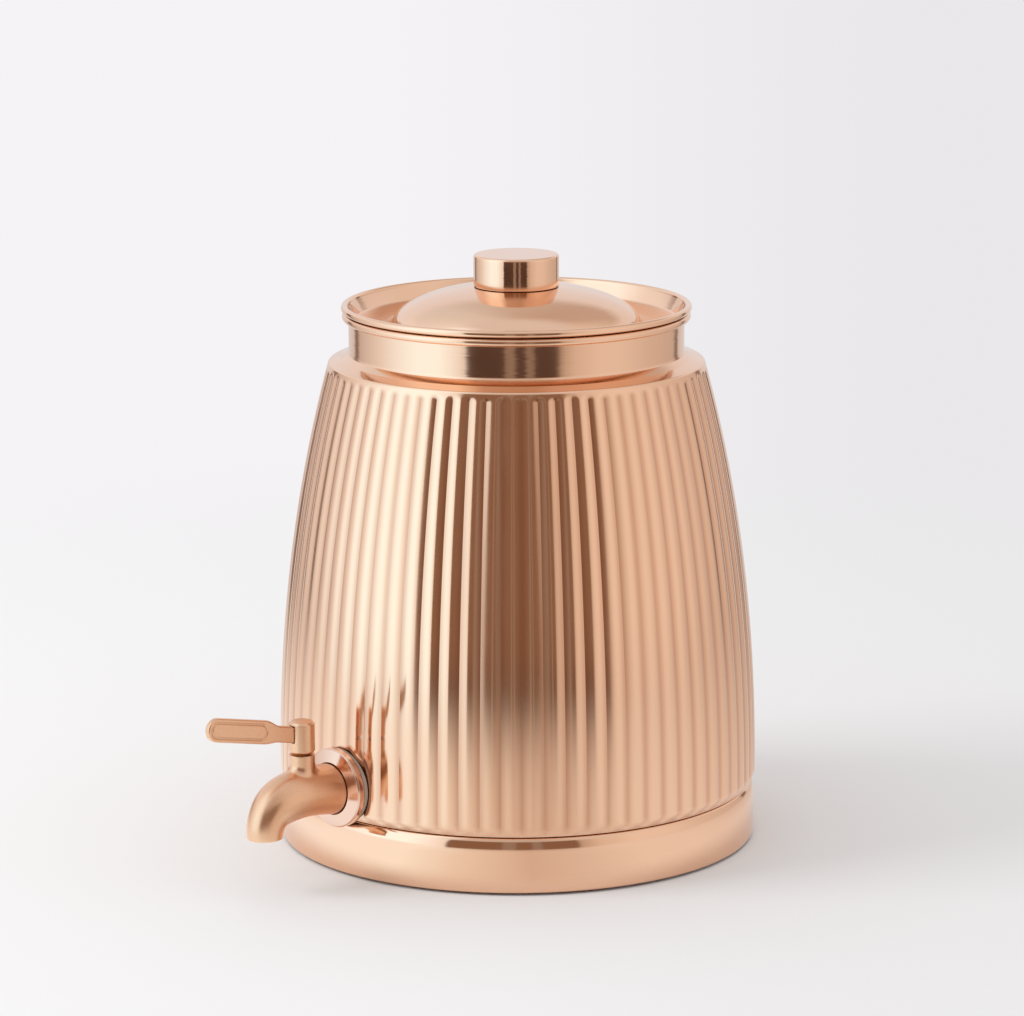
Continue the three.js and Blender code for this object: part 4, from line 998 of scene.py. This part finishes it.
# Where each storey of the studio gives way to the next: the upward part of a ray's direction,
# how much a ray that leans away from the camera counts as higher for the one above the walls,
# and how bright the walls are below eye level
EYE_LEVEL = (-0.15, -0.06)
ABOVE_LEVEL = (0.44, 0.56)
OVERHEAD_LEVEL = (0.42, 0.6)
ZENITH_LEVEL = (0.84, 0.97)
BACK_LIFT = 0.4
LOW_WALL = 0.93

# How the floor changes from near to far: the distance from the vessel's axis in metres, or how
# far to the camera's right as a share of the distance ahead, and the values at both ends.
FLOOR_FADES = {
    "background": ("away", 0.45, 1.1, 0, 1),
    "room_light": ("away", 0.125, 0.16, 0, 1),
    "light_strength": ("away", 0.15, 0.75, 1.05 * RAMP_SCALE, RAMP_SCALE),
    "studio": ("away", 0.2, 1.1, 0, 1),
    # Painted shade: the table and the backdrop darken to the camera's right, where the studio's light falls
    # off
    "table_painted_falloff": ("aside", -0.045, 0.1, 0.98, 0.95),
    "backdrop_painted_falloff": ("aside", -0.045, 0.1, 1, 0.9),
}
TABLE = "#F5F5F6"
BACKGROUND = "#F5F3F5"
FLOOR_HALF = 9
FLOOR_Z = -0.0002

# The even light, and the soft box: its size, how far it stands to the camera's left, how far
# its beam leans off the upright, and how far off it is in metres
EVEN_LIGHT = "#FBFAFA"
EVEN_STRENGTH = 0.89
KEY_WIDTH, KEY_HEIGHT = 1.1, 0.9
KEY_WATTS = 16
KEY_LEFT = math.radians(76)
KEY_TILT = math.radians(52)
KEY_AWAY = 2.4


def from_camera(tree, way):
    """The parts of a place or direction seen from the camera's side: to its right, away from it,
    and up."""
    turned = add(tree, "VectorRotate", {"Vector": way, "Angle": -AZIMUTH}, rotation_type="Z_AXIS")
    return add(tree, "SeparateXYZ", {0: turned}).outputs


def round_ramp(tree, way, stops):
    """The colour of the stops at a direction's angle round the vessel, from the camera's side."""
    right, back, _ = from_camera(tree, way)
    toward = add(tree, "Math", {0: back, 1: -1}, operation="MULTIPLY")
    angle = add(tree, "Math", {0: right, 1: toward}, operation="ARCTAN2")
    share = add(tree, "MapRange", {"Value": angle, "From Min": -math.pi, "From Max": math.pi})
    made = add(tree, "ValToRGB", {0: share})
    ramp = made.color_ramp
    ramp.elements[0].position = 0
    ramp.elements[1].position = 1
    for degrees, _ in stops[1:-1]:
        ramp.elements.new((degrees + 180) / 360)
    for stop, (_, colour) in zip(ramp.elements, stops):
        stop.color = (*(value / RAMP_SCALE for value in colour), 1)
    return made


def floor():
    """A pale floor that takes the shadow, with painted shade that makes it a little darker to the
    camera's right, where the studio's light falls off. Away from the vessel it fades into the
    background's own tone, which is painted a little darker to the right as well. To mirror rays
    it is lit only beside the vessel and shows the room's light further out, and past the table's
    edge they pass through it to the studio beyond."""
    material, tree, output = new_material("pale table")
    place = add(tree, "TexCoord").outputs["Object"]
    away = add(tree, "VectorMath", {0: place}, operation="LENGTH")
    right, back, _ = from_camera(tree, place)
    ahead = add(tree, "Math", {0: back, 1: CAMERA_BACK * MM}, operation="ADD")
    aside = add(tree, "Math", {0: right, 1: ahead}, operation="DIVIDE")
    measured = {"away": away.outputs["Value"], "aside": aside}
    fade = {}
    for name, (along, near, far, low, high) in FLOOR_FADES.items():
        fade[name] = add(tree, "MapRange", {
            "Value": measured[along], "From Min": near, "From Max": far, "To Min": low, "To Max": high,
        }, interpolation_type="SMOOTHSTEP")

    # Painted shade to the camera's right on the table's colour and on the backdrop's strength
    pale = add(tree, "VectorMath", {0: linear(TABLE)[:3], 3: fade["table_painted_falloff"]}, operation="SCALE")
    lit = add(tree, "BsdfDiffuse", {"Color": pale})
    glow = add(tree, "Emission", {"Color": linear(BACKGROUND), "Strength": fade["backdrop_painted_falloff"]})
    light = add(tree, "Emission", {
        "Color": round_ramp(tree, place, FLOOR_GLOW), "Strength": fade["light_strength"],
    })
    clear = add(tree, "BsdfTransparent")
    seen = add(tree, "MixShader", {0: fade["background"], 1: lit, 2: glow})
    table = add(tree, "MixShader", {0: fade["room_light"], 1: lit, 2: light})
    mirrored = add(tree, "MixShader", {0: fade["studio"], 1: table, 2: clear})
    ray = add(tree, "LightPath")
    shown = add(tree, "MixShader", {0: ray.outputs["Is Glossy Ray"], 1: seen, 2: mirrored})
    tree.links.new(shown.outputs[0], output.inputs[0])
    mesh = bpy.data.meshes.new("floor")
    corners = [(x * FLOOR_HALF, y * FLOOR_HALF, FLOOR_Z) for x, y in ((-1, -1), (1, -1), (1, 1), (-1, 1))]
    mesh.from_pydata(corners, [], [(0, 1, 2, 3)])
    mesh.materials.append(material)
    new_object("floor", mesh)


def studio():
    """What lies round the object. To mirror rays: a bright window to the left of the camera, a
    paler wall to the right and the dark room between them, then the walls' upper storeys and one
    tone straight overhead, each fading into the next with height. Above eye level the room is
    never darker than its haze, and below it the walls are a little dimmer. To the camera: the
    pale background. To all other rays: even light."""
    world = bpy.data.worlds.new("studio")
    bpy.context.scene.world = world
    world.use_nodes = True
    world.cycles.sampling_method = "NONE"
    tree = world.node_tree
    tree.nodes.clear()
    way = add(tree, "TexCoord").outputs["Generated"]
    _, back, up = from_camera(tree, way)
    behind = add(tree, "Math", {0: back, 1: 0}, operation="MAXIMUM")
    lifted = add(tree, "Math", {0: behind, 1: BACK_LIFT, 2: up}, operation="MULTIPLY_ADD")
    over_eye = add(tree, "MapRange", {"Value": up, "From Min": EYE_LEVEL[0], "From Max": EYE_LEVEL[1]})
    dimmed = add(tree, "MapRange", {"Value": over_eye, "To Min": LOW_WALL})
    wall = add(tree, "VectorMath", {0: round_ramp(tree, way, STUDIO_WALL), 3: dimmed}, operation="SCALE")
    haze, zenith = ((*(value / RAMP_SCALE for value in tone), 1) for tone in (ROOM_HAZE, STUDIO_ZENITH))
    walls = add(tree, "MixRGB", {0: over_eye, 1: wall, 2: haze}, blend_type="LIGHTEN")
    for height, (low, high), storey in (
        (lifted, ABOVE_LEVEL, round_ramp(tree, way, STUDIO_ABOVE)),
        (up, OVERHEAD_LEVEL, round_ramp(tree, way, STUDIO_OVERHEAD)),
        (up, ZENITH_LEVEL, zenith),
    ):
        share = add(tree, "MapRange", {"Value": height, "From Min": low, "From Max": high},
                    interpolation_type="SMOOTHSTEP")
        walls = add(tree, "MixRGB", {0: share, 1: walls, 2: storey})
    ray = add(tree, "LightPath")
    mirror = add(tree, "Background", {0: walls, 1: RAMP_SCALE})
    even = add(tree, "Background", {0: linear(EVEN_LIGHT), 1: EVEN_STRENGTH})
    backdrop = add(tree, "Background", {0: linear(BACKGROUND), 1: 1})
    other = add(tree, "MixShader", {0: ray.outputs["Is Glossy Ray"], 1: even, 2: mirror})
    final = add(tree, "MixShader", {0: ray.outputs["Is Camera Ray"], 1: other, 2: backdrop})
    output = add(tree, "OutputWorld")
    tree.links.new(final.outputs[0], output.inputs[0])


def key_light():
    """A wide soft box, low to the left of the camera, that throws the long soft shadow."""
    data = bpy.data.lights.new("key", "AREA")
    data.shape = "RECTANGLE"
    data.size = KEY_WIDTH
    data.size_y = KEY_HEIGHT
    data.energy = KEY_WATTS
    lamp = new_object("key", data)
    aim = Matrix.Rotation(AZIMUTH - KEY_LEFT, 4, "Z") @ Matrix.Rotation(KEY_TILT, 4, "X")
    lamp.matrix_world = aim @ Matrix.Translation((0, 0, KEY_AWAY))
    lamp.visible_glossy = False
    lamp.visible_camera = False


bpy.context.scene.view_settings.view_transform = "Standard"
camera()
floor()
studio()
key_light()
vessel()
base_band()
lid()
knob()
flange()
outer_gasket()
tap()
hub()
lever()
